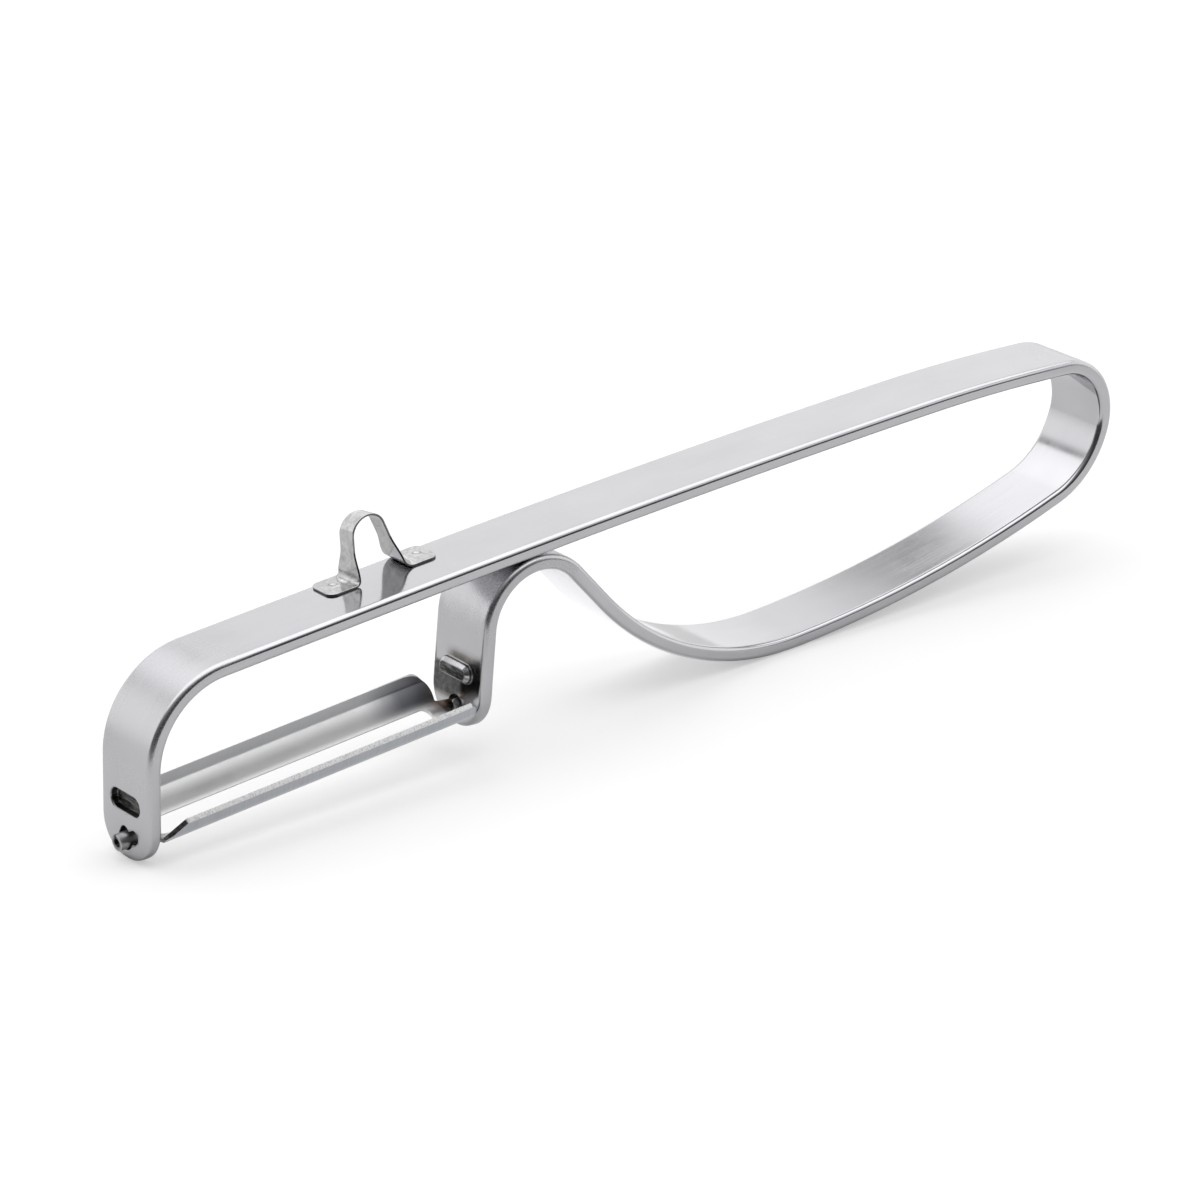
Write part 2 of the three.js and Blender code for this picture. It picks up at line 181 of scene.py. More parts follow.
# Eye remover: a thin strip bent to a loop with two welded feet
EYE_SHEET = 0.3
EYE_EASE = 0.08
EYE_WIDTH = 4.7
EYE_LOOP_WIDTH = 2.9
EYE_TAPER = 4.0
EYE_ACROSS = 2.65
EYE_ALONG_TOP = 25.6
EYE_LEG_HEIGHT = 5.9
EYE_TOP_RADIUS = 2.55
EYE_SLOPE_ANGLE = 70.0
EYE_FRONT_BEND_RADIUS = 0.6
EYE_REAR_BEND_RADIUS = 1.9
EYE_FRONT_FOOT = 4.3
EYE_REAR_FOOT = 3.9
EYE_FALL = 0.08
EYE_FOOT_CORNER = 1.2
EYE_SEAT = 0.01
WELD_RADIUS = 0.95
WELD_DEPTH = 0.05
WELD_WALL_SHARE = 0.9

# Colours of the steels as linear red, green and blue, two where a grain runs between them
STRIP_STEEL = ((0.545, 0.545, 0.565), (0.585, 0.585, 0.605))
# The straw and black colours paint shade and the dark reflection of the blade on the rear leg, with a scorch
# tint
STRAW_SCORCH_AND_SHADE = (0.33, 0.31, 0.285)
BLACK_SCORCH_AND_SHADE = (0.08, 0.08, 0.083)
SHEARED_STEEL = ((0.04, 0.04, 0.041), (0.34, 0.335, 0.325))
BLADE_STEEL = ((0.78, 0.78, 0.785), (0.83, 0.83, 0.835))
# Hatched ground steel of the rims, darker partly as painted shade
RIM_STEEL_AND_SHADE = ((0.6, 0.62, 0.655), (0.66, 0.68, 0.715))
# Bright ground steel, which also paints the highlight on the slot's rear edge
GROUND_STEEL_AND_HIGHLIGHT = ((0.74, 0.745, 0.77), (1.0, 1.0, 1.0))
# Painted shade and dark reflection of the rear leg at the rear end of the blade's far wall, partly heat
# colour
BLADE_SHADE_AND_HEAT = (0.24, 0.245, 0.27)
BROWN_HEAT = ((0.2, 0.1, 0.05), (0.5, 0.36, 0.24))
# Dirt at the pins and on dirty cuts, with painted shade inside the pins and on the slot's far edge
DIRT_AND_SHADE_COLOURS = ((0.045, 0.045, 0.046), (0.22, 0.215, 0.21))
EYE_STEEL = ((0.4, 0.4, 0.405), (0.64, 0.64, 0.64))
# Dark cut steel of the eye remover, partly painted contact shade on the lower half of its edges
EYE_CUT_AND_SHADE_STEEL = (0.13, 0.13, 0.135)
WORKED_ROUGHNESS = 0.45

# How worked the rows of each edge are, from the face that it starts on
HOLE_WORK = (0, 0.3, 0.7, 1, 1, 0.7, 0.3, 0)
POCKET_WORK = (0, 0.25, 0.5, 0.75, 1, 1, 1, 1, 1, 1)
BOSS_WORK = (0, 0.2, 0.5, 0.8, 1, 1, 0.1, 0.1, 1)
# The eye remover's edge is dark on its lower half as painted contact shade
EYE_EDGE_CUT_AND_SHADE = (0, 0, 0.2, 0.8, 1, 1, 1, 0.3)

# Depth of the fine relief on each steel
STRIP_RELIEF = 0.0002
BLADE_RELIEF = 0.0003
EYE_RELIEF = 0.003

# Camera of the photograph
CAMERA_PLACE = (-384.1, -459.29, 272.57)
CAMERA_YAW = 39.4413
CAMERA_PITCH = 23.4776
CAMERA_ROLL = -0.0641
CAMERA_LENS = 143.784
CAMERA_SENSOR = 36.0
CAMERA_CLIP = 50.0

# Floor, table and pool of light, and each sky's strength as a sum of ramps over the sine of height:
# from, to, strength below and strength above
FLOOR_REACH = 4000.0
FLOOR_ROUGHNESS = 0.8
FLOOR_PALENESS = 0.57
FLOOR_LIGHT = 0.45
TABLE_PALENESS = 0.745
TABLE_EDGE = -80.0
TABLE_RISE = 0.2
POOL_PLACE = (4.0, 13.0, 0.0)
POOL_FROM = 20.5
POOL_TO = 16.5
POOL_LIGHT = 0.5
LIT_WAY = (0.6, 0.69, 0.36)
LIT_FROM = -0.2
LIT_TO = 0.1
LIT_SKY = [(0.47, 0.61, 1.18, 0.33), (0.604, 0.628, 0.0, 1.27), (0.66, 0.85, 0.0, 0.14)]
DARK_SKY = [(0.3, 0.95, 0.06, 0.36)]

# Fineness of bends, outlines, edges and filled faces
STEP_ANGLE = 2.0
STEP_LENGTH = 4.0
SHEET_STEP_ANGLE = 4.0
SECTION_STEP_LENGTH = 0.3
EYE_STEP_LENGTH = 0.4
FILLET_STEP = 6.0
LEAST_FILLET_STEPS = 3
QUARTER_STEPS = 12
FOOT_CORNER_STEPS = 10
PUNCH_POINTS = 96
PUNCH_EASINGS = 2
EASE_ANGLES = (0.0, 22.5, 45.0, 67.5, 90.0)
WELD_STEPS = 8
STRIP_EDGE_STEPS = 7
FINE_EDGE_STEPS = 3
CUT_MARGIN = 0.05
BLADE_SIDE_SPACING = 1.0
BLADE_END_SPACING = 0.1
BLADE_LONG_CUTS = 44
TAB_ROLL_CUTS = 64
TAB_LONG_CUTS = 30
NECK_LONG_CUTS = 10
BLADE_SQUEEZE = 0.3
FILL_CLEARANCE = 0.03
FILL_BATCH = 500
FILL_TOLERANCE = 1e-7
SAME_POINT = 1e-6
SAME_FACE = 0.05


# Headings and left-hand normals in the plane of a bend
def along(heading):
    angle = math.radians(heading)
    return np.array([math.cos(angle), math.sin(angle)])


def left_of(heading):
    return along(heading + 90)


# Steps of a bend line: straight runs, and bends to the left or to the right, as length and turn
def run(length):
    return (length, 0.0)


def bend_left(radius, angle):
    return (radius * math.radians(angle), angle)


def bend_right(radius, angle):
    return (radius * math.radians(angle), -angle)


# The way from one end of a bend of radius 1 to the other
def turn_span(heading, angle):
    return (left_of(heading) - left_of(heading + angle)) * math.copysign(1, angle)


# Walks the steps and returns stations: length so far, point and heading
def walk(start, heading, steps, step_angle=STEP_ANGLE, step_length=STEP_LENGTH):
    stations = [(0.0, np.array(start, float), heading)]
    for length, turn in steps:
        so_far, point, heading = stations[-1]
        count = math.ceil(max(abs(turn) / step_angle, length / step_length))
        for i in range(1, count + 1):
            share = i / count
            now = heading + turn * share
            if turn == 0:
                place = point + along(heading) * length * share
            else:
                place = point + turn_span(heading, turn * share) * length / math.radians(abs(turn))
            stations.append((so_far + length * share, place, now))
    return stations


def lengths_of(stations):
    return np.array([station[0] for station in stations])


# Smooth rise from 0 to 1
def smooth(share):
    return share * share * (3 - 2 * share)


# Bend line of the strip, with the top's centre line at height 0 and its straight run starting at 0
def strip_line():
    bend_end = -turn_span(FRONT_BEND_ANGLE, -FRONT_BEND_ANGLE) * FRONT_BEND_RADIUS
    front_leg = (PIN_DROP + bend_end[1]) / math.sin(math.radians(FRONT_BEND_ANGLE)) + PIN_TO_LEG_END
    front_end = bend_end - along(FRONT_BEND_ANGLE) * front_leg

    hump_bend = (HUMP_ALONG_TOP - TOP_STRAIGHT) / ARCH_RADIUS
    hump_heading = -math.degrees(hump_bend)
    hump_top = np.array([TOP_STRAIGHT, 0]) + turn_span(0, hump_heading) * ARCH_RADIUS
    hump_centre = hump_top - left_of(hump_heading) * (STRIP_THICKNESS + HUMP_SEAM + HUMP_RADIUS)
    leg_heading = -90 - REAR_LEG_LEAN
    riser_heading = leg_heading - HUMP_ANGLE
    riser_start = hump_centre - left_of(riser_heading) * HUMP_RADIUS - along(riser_heading) * RISER_LENGTH
    hump_end = hump_centre - left_of(leg_heading) * HUMP_RADIUS
    rear_leg = (hump_end[1] + PIN_DROP) / math.cos(math.radians(REAR_LEG_LEAN)) + PIN_TO_LEG_END

    top_and_rear = [
        run(TOP_STRAIGHT),
        bend_right(ARCH_RADIUS, ARCH_ANGLE),
        bend_right(SHOULDER_RADIUS, SHOULDER_ANGLE),
        bend_right(REAR_BEND_RADIUS, REAR_BEND_ANGLE),
        bend_right(HEEL_RADIUS, HEEL_ANGLE),
    ]
    heel_end = walk((0, 0), 0, top_and_rear)[-1]
    belly_angle = heel_end[2] - riser_heading - PALM_ANGLE
    palm_span = turn_span(heel_end[2], -PALM_ANGLE)
    belly_span = turn_span(heel_end[2] - PALM_ANGLE, -belly_angle)
    spans = np.column_stack([palm_span, belly_span])
    palm_radius, belly_radius = np.linalg.solve(spans, riser_start - heel_end[1])
    return walk(front_end, FRONT_BEND_ANGLE, [
        run(front_leg),
        bend_right(FRONT_BEND_RADIUS, FRONT_BEND_ANGLE),
        *top_and_rear,
        bend_right(palm_radius, PALM_ANGLE),
        bend_right(belly_radius, belly_angle),
        run(RISER_LENGTH),
        bend_left(HUMP_RADIUS, HUMP_ANGLE),
        run(rear_leg),
    ])


STRIP_LINE = strip_line()
STRIP_LENGTH = STRIP_LINE[-1][0]


# Where the pin axis passes a leg, and the half thickness of the leg along that axis
def leg_pin(station, inward):
    return (station[1] + along(station[2]) * inward * PIN_TO_LEG_END)[0]


def half_wall(lean):
    return STRIP_THICKNESS / 2 / math.cos(math.radians(lean))


FRONT_WALL = half_wall(90 - FRONT_BEND_ANGLE)
REAR_WALL = half_wall(REAR_LEG_LEAN)
FRONT_FACE = leg_pin(STRIP_LINE[0], 1) + FRONT_WALL
REAR_FACE = leg_pin(STRIP_LINE[-1], -1) - REAR_WALL
BLADE_MIDDLE = (FRONT_FACE + REAR_FACE) / 2
BLADE_HALF = (REAR_FACE - FRONT_FACE) / 2 - BLADE_END_GAP

# The swivel joint gives the tilt of the standing peeler and the place of the pin axis
swivel = frame["joints"][0]
pin_axis = Vector(swivel["axis"])
pin_slope = math.atan2(pin_axis.z, pin_axis.x)
STAND = Matrix.Translation(Vector(swivel["pos_m"])) @ Matrix.Rotation(-pin_slope, 4, "Y")
SCALE = Matrix.Scale(MM, 4)
STRIP_PLACE = STAND @ SCALE @ Matrix.Translation((-BLADE_MIDDLE, 0, PIN_DROP))
BLADE_PLACE = STAND @ SCALE @ Matrix.Rotation(math.radians(BLADE_TILT), 4, "X")


# Outlines on a flat sheet, as rows of points along and across it
def arc(centre, radius, start, end, count):
    angles = np.radians(np.linspace(start, end, count + 1))
    return np.array(centre) + radius * np.column_stack([np.cos(angles), np.sin(angles)])


def signed_area(loop):
    after = np.roll(loop, -1, axis=0)
    return 0.5 * np.sum(loop[:, 0] * after[:, 1] - after[:, 0] * loop[:, 1])


def turned(loop, sense):
    return loop if signed_area(loop) * sense > 0 else loop[::-1]


def without_doubles(points):
    kept = [points[0]]
    for point in points[1:]:
        if np.linalg.norm(point - kept[-1]) > SAME_POINT:
            kept.append(point)
    if np.linalg.norm(kept[0] - kept[-1]) < SAME_POINT:
        kept.pop()
    return np.array(kept)


# Closed outline through corners (along, across, radius), with each straight side cut by a rule
def rounded_outline(corners, side_cuts):
    count = len(corners)
    fillets = []
    for i in range(count):
        here = np.array(corners[i][:2], float)
        back = np.array(corners[i - 1][:2], float) - here
        ahead = np.array(corners[(i + 1) % count][:2], float) - here
        back /= np.linalg.norm(back)
        ahead /= np.linalg.norm(ahead)
        half = math.acos(np.clip(back @ ahead, -1, 1)) / 2
        radius = corners[i][2]
        reach = radius / math.tan(half)
        middle = (back + ahead) / np.linalg.norm(back + ahead)
        centre = here + middle * radius / math.sin(half)
        sweep = math.pi - 2 * half
        steps = max(LEAST_FILLET_STEPS, math.ceil(math.degrees(sweep) / FILLET_STEP))
        first = here + back * reach - centre
        sense = math.copysign(1, back[1] * ahead[0] - back[0] * ahead[1])
        turns = np.linspace(0, sweep, steps + 1)[:, None] * sense
        square = np.array([-first[1], first[0]])
        fillets.append(centre + first * np.cos(turns) + square * np.sin(turns))
    points = []
    for i in range(count):
        points.extend(fillets[i])
        points.extend(side_cuts(fillets[i][-1], fillets[(i + 1) % count][0]))
    return without_doubles(points)


# Points between two ends, at most a spacing apart
def evenly(start, end, spacing):
    count = max(1, math.ceil(np.linalg.norm(end - start) / spacing))
    return [start + (end - start) * i / count for i in range(1, count)]


def obround(centre, length_along, length_across):
    radius = min(length_along, length_across) / 2
    reach_along = length_along / 2 - radius
    reach_across = length_across / 2 - radius
    quarters = [(1, 1, 0), (-1, 1, 90), (-1, -1, 180), (1, -1, 270)]
    points = []
    for way_along, way_across, start in quarters:
        middle = np.array(centre) + (way_along * reach_along, way_across * reach_across)
        points.extend(arc(middle, radius, start, start + 90, QUARTER_STEPS))
    return without_doubles(points)


# Outline of a hole of round punches that overlap, seen from the middle of the first
def punched(first, others):
    ways = arc((0, 0), 1, 0, 360, PUNCH_POINTS)[:-1]
    middle = np.array(first[:2])
    reach = np.full(len(ways), first[2])
    for *place, radius in others:
        away = np.array(place) - middle
        forward = ways @ away
        squared = radius ** 2 - away @ away + forward ** 2
        half_chord = np.where(squared > 0, np.sqrt(np.abs(squared)), -radius)
        reach = np.maximum(reach, forward + half_chord)
    for _ in range(PUNCH_EASINGS):
        reach = (np.roll(reach, 1) + 2 * reach + np.roll(reach, -1)) / 4
    return middle + ways * reach[:, None]


def inside(points, loop):
    after = np.roll(loop, -1, axis=0)
    x = points[:, 0][:, None]
    y = points[:, 1][:, None]
    spans = (loop[None, :, 1] > y) != (after[None, :, 1] > y)
    rise = np.where(after[:, 1] == loop[:, 1], 1, after[:, 1] - loop[:, 1])
    crossing = loop[:, 0] + (y - loop[:, 1]) * (after[:, 0] - loop[:, 0]) / rise
    return np.sum(spans & (x < crossing), axis=1) % 2 == 1


# Mitred ways into the material on the left of a loop
def inward_ways(loop):
    before = loop - np.roll(loop, 1, axis=0)
    after = np.roll(before, -1, axis=0)
    left = []
    for step in (before, after):
        step = step / np.linalg.norm(step, axis=1)[:, None]
        left.append(np.column_stack([-step[:, 1], step[:, 0]]))
    return (left[0] + left[1]) / (1 + np.sum(left[0] * left[1], axis=1))[:, None]


# Rows of an edge or feature: how far in from the outline, height and angle of the surface's normal.
# Angle 90 faces out of the sheet, 0 faces away from the material, -90 faces the other way.
def round_edge_rows(thickness, radius, segments):
    rows = []
    for side in (1, -1):
        for i in range(segments + 1):
            angle = 90 * (1 - i / segments) if side > 0 else -90 * i / segments
            turn = math.radians(angle)
            height = side * (thickness / 2 - radius) + radius * math.sin(turn)
            rows.append((radius * (1 - math.cos(turn)), height, angle))
    return rows


# Edge with eased corners, ground on a slant by some depth on the outer side
def ground_edge_rows(thickness, ease, grind):
    half = thickness / 2
    slope = np.hypot(grind, thickness)
    lean = np.degrees(np.arctan2(grind, thickness))
    by_in = ease * grind / slope
    by_height = ease * thickness / slope
    top = [(grind + ease, half), (grind, half), (grind - by_in, half - by_height)]
    low = [(by_in, by_height - half), (0, -half), (ease, -half)]
    rows = []
    for corner, first, last in ((top, 90, lean), (low, lean, -90)):
        eased = [(a + 2 * b + c) / 4 for a, b, c in zip(*corner)]
        rows.append((*corner[0], first))
        rows.append((*eased, (first + last) / 2))
        rows.append((*corner[2], last))
    return rows


# A pressed pocket in a face, and a pressed boss on the face behind it
def pocket_rows(face, depth, fillet):
    rows = []
    for angle in EASE_ANGLES[::-1]:
        inset = fillet * (1 - math.cos(math.radians(angle)))
        rows.append((inset, face - fillet + fillet * math.sin(math.radians(angle)), angle))
    for angle in EASE_ANGLES:
        inset = fillet * (1 - math.cos(math.radians(angle)))
        rows.append((-inset, face - depth + fillet * (1 - math.sin(math.radians(angle))), angle))
    return rows


def boss_rows(face, height, fillet, chamfer, ease):
    rows = []
    for angle in EASE_ANGLES:
        turn = math.radians(angle)
        rows.append((fillet * (1 - math.sin(turn)), face + fillet * (1 - math.cos(turn)), 90 + angle))
    top = face + height
    rows.append((0, top - chamfer - ease, 180))
    rows.append((-ease, top - chamfer + ease, 135))
    rows.append((-chamfer + ease, top - ease, 135))
    rows.append((-chamfer - ease, top, 90))
    return rows


# A shallow round print, such as a spot weld leaves
def print_rows(face, radius, depth):
    rows = []
    for share in np.linspace(0, 1, WELD_STEPS + 1):
        slope = math.degrees(math.atan(depth * math.pi / radius * math.sin(math.pi * share)))
        drop = depth * (1 - math.cos(math.pi * share)) / 2
        rows.append((-radius * share * WELD_WALL_SHARE, face - drop, 90 - slope))
    return rows


# A flat sheet with its edges and pressed features. Places are along, across and out of the sheet.
# worked_and_painted_light is how far the steel was cut, torn or ground at a place; on the blade's slot and
# the eye remover's edges it also carries painted highlight and shade.
class Blank:
    def __init__(self):
        self.places = []
        self.normals = []
        self.worked_and_painted_light = []
        self.faces = []

    def add(self, places, normals, worked_and_painted_light):
        start = len(self.places)
        self.places.extend(places)
        self.normals.extend(normals)
        self.worked_and_painted_light.extend(np.broadcast_to(worked_and_painted_light, len(places)))
        return np.arange(start, len(self.places))

    # Rows of vertices beside a loop that keeps the material on its left, joined by quads
    def edge(self, loop, rows, side=1, worked_and_painted_light=None):
        mitre = inward_ways(loop)
        unit = mitre / np.linalg.norm(mitre, axis=1)[:, None]
        rings = []
        worked_and_painted_light = [0.0] * len(rows) if worked_and_painted_light is None else worked_and_painted_light
        for (inset, height, angle), work in zip(rows, worked_and_painted_light):
            inset = np.broadcast_to(inset, len(loop))
            turn = np.radians(np.broadcast_to(angle, len(loop)))
            flat = loop + mitre * inset[:, None]
            height = np.broadcast_to(height, len(loop))
            places = np.column_stack([flat[:, 0], side * flat[:, 1], side * height])
            out = -unit * np.cos(turn)[:, None]
            normals = np.column_stack([out[:, 0], side * out[:, 1], side * np.sin(turn)])
            rings.append(self.add(places, normals, work))
        for upper, lower in zip(rings, rings[1:]):
            for i in range(len(loop)):
                j = (i + 1) % len(loop)
                self.faces.append((upper[i], lower[i], lower[j], upper[j]))
        return rings[0], rings[-1]

    # Flat face between rings, the first one the outer one, with points inside it
    def fill(self, rings, side=1, points=(), squeeze=1.0):
        flat_scale = np.array([1, side * squeeze])
        loops = [np.array([self.places[i][:2] for i in ring]) * flat_scale for ring in rings]
        indices = np.concatenate(rings)

        def on_face(spots):
            kept = inside(spots, loops[0])
            for hole in loops[1:]:
                kept &= ~inside(spots, hole)
            return kept

        if len(points):
            spots = np.array(points) * flat_scale
            kept = on_face(spots)
            border = np.concatenate(loops)
            for start in range(0, len(spots), FILL_BATCH):
                part = spots[start:start + FILL_BATCH]
                nearest = np.min(np.linalg.norm(part[:, None] - border[None], axis=2), axis=1)
                kept[start:start + FILL_BATCH] &= nearest > FILL_CLEARANCE
            extra = np.array(points)[kept]
            height = self.places[indices[0]][2]
            places = np.column_stack([extra, np.full(len(extra), height)])
            normals = np.tile((0.0, 0.0, float(side)), (len(extra), 1))
            indices = np.concatenate([indices, self.add(places, normals, 0.0)])
        spots = np.array([self.places[i][:2] for i in indices]) * flat_scale
        edges = []
        start = 0
        for ring in rings:
            count = len(ring)
            edges.extend((start + i, start + (i + 1) % count) for i in range(count))
            start += count
        result = delaunay_2d_cdt([Vector(spot) for spot in spots], edges, [], 0, FILL_TOLERANCE)
        source = [ids[0] for ids in result[3]]
        triangles = np.array([[source[corner] for corner in face] for face in result[2]])
        for triangle in triangles[on_face(spots[triangles].mean(axis=1))]:
            self.faces.append(tuple(indices[corner] for corner in triangle))

    def mesh(self, name, values_at):
        mesh = bpy.data.meshes.new(name)
        faces = [tuple(int(corner) for corner in face) for face in self.faces]
        mesh.from_pydata([tuple(place) for place in self.places], [], faces)
        places = np.array(self.places, np.float32)
        normals = np.array(self.normals, np.float32)
        for label, values in (("flat_place", places), ("flat_normal", normals)):
            attribute = mesh.attributes.new(label, "FLOAT_VECTOR", "POINT")
            attribute.data.foreach_set("vector", values.ravel())
        for label, values in {"worked_and_painted_light": np.array(self.worked_and_painted_light), **values_at(places)}.items():
            attribute = mesh.attributes.new(label, "FLOAT", "POINT")
            attribute.data.foreach_set("value", values.astype(np.float32))
        return mesh


# Geometry Nodes tree that bends a flat blank along a bend line, and rolls its tabs along a second one
def sheet_bender():
    tree = bpy.data.node_groups.new("sheet_bender", "GeometryNodeTree")
    sockets = [
        ("Geometry", "INPUT", "NodeSocketGeometry"),
        ("Bend line", "INPUT", "NodeSocketObject"),
        ("Roll line", "INPUT", "NodeSocketObject"),
        ("Across", "INPUT", "NodeSocketVector"),
        ("Finish", "INPUT", "NodeSocketMaterial"),
        ("Geometry", "OUTPUT", "NodeSocketGeometry"),
    ]
    for label, way, kind in sockets:
        tree.interface.new_socket(label, in_out=way, socket_type=kind)
    link = tree.links.new
    new = tree.nodes.new
    given = new("NodeGroupInput")

    def vector_math(operation, first, second):
        node = new("ShaderNodeVectorMath")
        node.operation = operation
        link(first, node.inputs[0])
        link(second, node.inputs["Scale"] if operation == "SCALE" else node.inputs[1])
        return node.outputs["Vector"]

    def attribute(label, kind):
        node = new("GeometryNodeInputNamedAttribute")
        node.data_type = kind
        node.inputs["Name"].default_value = label
        return node.outputs["Attribute"]

    place = new("ShaderNodeSeparateXYZ")
    link(new("GeometryNodeInputPosition").outputs["Position"], place.inputs[0])

    def sampled(socket):
        line = new("GeometryNodeObjectInfo")
        line.transform_space = "ORIGINAL"
        link(given.outputs[socket], line.inputs["Object"])
        sample = new("GeometryNodeSampleCurve")
        sample.mode = "LENGTH"
        link(line.outputs["Geometry"], sample.inputs["Curves"])
        link(place.outputs["X"], sample.inputs["Length"])
        return sample.outputs["Position"], sample.outputs["Tangent"]

    bend_point, bend_way = sampled("Bend line")
    roll_point, roll_way = sampled("Roll line")
    rolled = attribute("rolled", "FLOAT")
    shift = vector_math("SUBTRACT", roll_point, bend_point)
    turn = vector_math("SUBTRACT", roll_way, bend_way)
    point = vector_math("ADD", bend_point, vector_math("SCALE", shift, rolled))
    way = vector_math("ADD", bend_way, vector_math("SCALE", turn, rolled))
    leaning = vector_math("SCALE", shift, attribute("rolled_slope", "FLOAT"))
    side = vector_math("ADD", given.outputs["Across"], leaning)
    crossed = vector_math("CROSS_PRODUCT", way, side)
    unit = new("ShaderNodeVectorMath")
    unit.operation = "NORMALIZE"
    link(crossed, unit.inputs[0])
    out = unit.outputs["Vector"]
    across_shift = vector_math("SCALE", given.outputs["Across"], place.outputs["Y"])
    out_shift = vector_math("SCALE", out, place.outputs["Z"])
    bent_place = vector_math("ADD", vector_math("ADD", point, across_shift), out_shift)

    flat_normal = new("ShaderNodeSeparateXYZ")
    link(attribute("flat_normal", "FLOAT_VECTOR"), flat_normal.inputs[0])
    by_way = vector_math("SCALE", way, flat_normal.outputs["X"])
    by_side = vector_math("SCALE", side, flat_normal.outputs["Y"])
    by_out = vector_math("SCALE", out, flat_normal.outputs["Z"])
    bent_normal = vector_math("ADD", vector_math("ADD", by_way, by_side), by_out)

    keep = new("GeometryNodeStoreNamedAttribute")
    keep.data_type = "FLOAT_VECTOR"
    keep.domain = "POINT"
    keep.inputs["Name"].default_value = "bent_normal"
    link(given.outputs["Geometry"], keep.inputs["Geometry"])
    link(bent_normal, keep.inputs["Value"])
    bend = new("GeometryNodeSetPosition")
    link(keep.outputs["Geometry"], bend.inputs["Geometry"])
    link(bent_place, bend.inputs["Position"])
    realize = new("GeometryNodeRealizeInstances")
    link(bend.outputs["Geometry"], realize.inputs["Geometry"])
    finish = new("GeometryNodeSetMaterial")
    link(realize.outputs["Geometry"], finish.inputs["Geometry"])
    link(given.outputs["Finish"], finish.inputs["Material"])
    result = new("NodeGroupOutput")
    link(finish.outputs["Geometry"], result.inputs["Geometry"])
    return tree


def socket_identifier(tree, label):
    for item in tree.interface.items_tree:
        if item.name == label and item.in_out == "INPUT":
            return item.identifier
    raise KeyError(label)


# Poly curve through the stations of a bend line, in the plane of two axes
def line_object(name, stations, first_axis, second_axis):
    curve = bpy.data.curves.new(name, "CURVE")
    curve.dimensions = "3D"
    spline = curve.splines.new("POLY")
    spline.points.add(len(stations) - 1)
    for vertex, (_, point, _) in zip(spline.points, stations):
        vertex.co = (*(Vector(first_axis) * point[0] + Vector(second_axis) * point[1]), 1)
    line = bpy.data.objects.new(name, curve)
    bpy.context.scene.collection.objects.link(line)
    return line


def keep_mesh(name, mesh):
    piece = bpy.data.objects.new(name, mesh)
    bpy.context.scene.collection.objects.link(piece)
    return piece


# Bends a blank, sets its exact normals and puts it in its place
def bent_sheet(name, flat, bend_line, roll_line, across, place, finish, reshape=None):
    holder = keep_mesh(name + "_flat", flat)
    modifier = holder.modifiers.new("bend", "NODES")
    modifier.node_group = BENDER
    inputs = {"Bend line": bend_line, "Roll line": roll_line, "Across": across, "Finish": finish}
    for label, value in inputs.items():
        modifier[socket_identifier(BENDER, label)] = value
    depsgraph = bpy.context.evaluated_depsgraph_get()
    mesh = bpy.data.meshes.new_from_object(holder.evaluated_get(depsgraph), depsgraph=depsgraph)
    mesh.name = name
    holder.modifiers.remove(modifier)
    bpy.data.objects.remove(holder)
    for line in {bend_line, roll_line}:
        bpy.data.objects.remove(line)
    count = len(mesh.vertices)
    normals = np.zeros(count * 3, np.float32)
    mesh.attributes["bent_normal"].data.foreach_get("vector", normals)
    normals = normals.reshape(-1, 3)
    places = np.zeros(count * 3, np.float32)
    mesh.vertices.foreach_get("co", places)
    places = places.reshape(-1, 3)
    if reshape:
        places, normals = reshape(places, normals)
    turn = np.array(place.to_3x3().normalized())
    matrix = np.array(place)
    placed = places @ matrix[:3, :3].T + matrix[:3, 3]
    faced = normals @ turn.T
    faced /= np.linalg.norm(faced, axis=1)[:, None]
    mesh.vertices.foreach_set("co", placed.astype(np.float32).ravel())
    for label in ("bent_normal", "flat_normal"):
        mesh.attributes.remove(mesh.attributes[label])
    mesh.update()
    mesh.shade_smooth()
    mesh.normals_split_custom_set_from_vertices([tuple(normal) for normal in faced])
    return keep_mesh(name, mesh)


# Shader nodes that take a value from one range to another, and that join two values
def ramp(tree, value, start, end, low, high):
    node = tree.nodes.new("ShaderNodeMapRange")
    limits = {"From Min": start, "From Max": end, "To Min": low, "To Max": high}
    for label, limit in limits.items():
        node.inputs[label].default_value = limit
    tree.links.new(value, node.inputs["Value"])
    return node


def joined(tree, operation, first, second):
    node = tree.nodes.new("ShaderNodeMath")
    node.operation = operation
    tree.links.new(first, node.inputs[0])
    tree.links.new(second, node.inputs[1])
    return node.outputs["Value"]


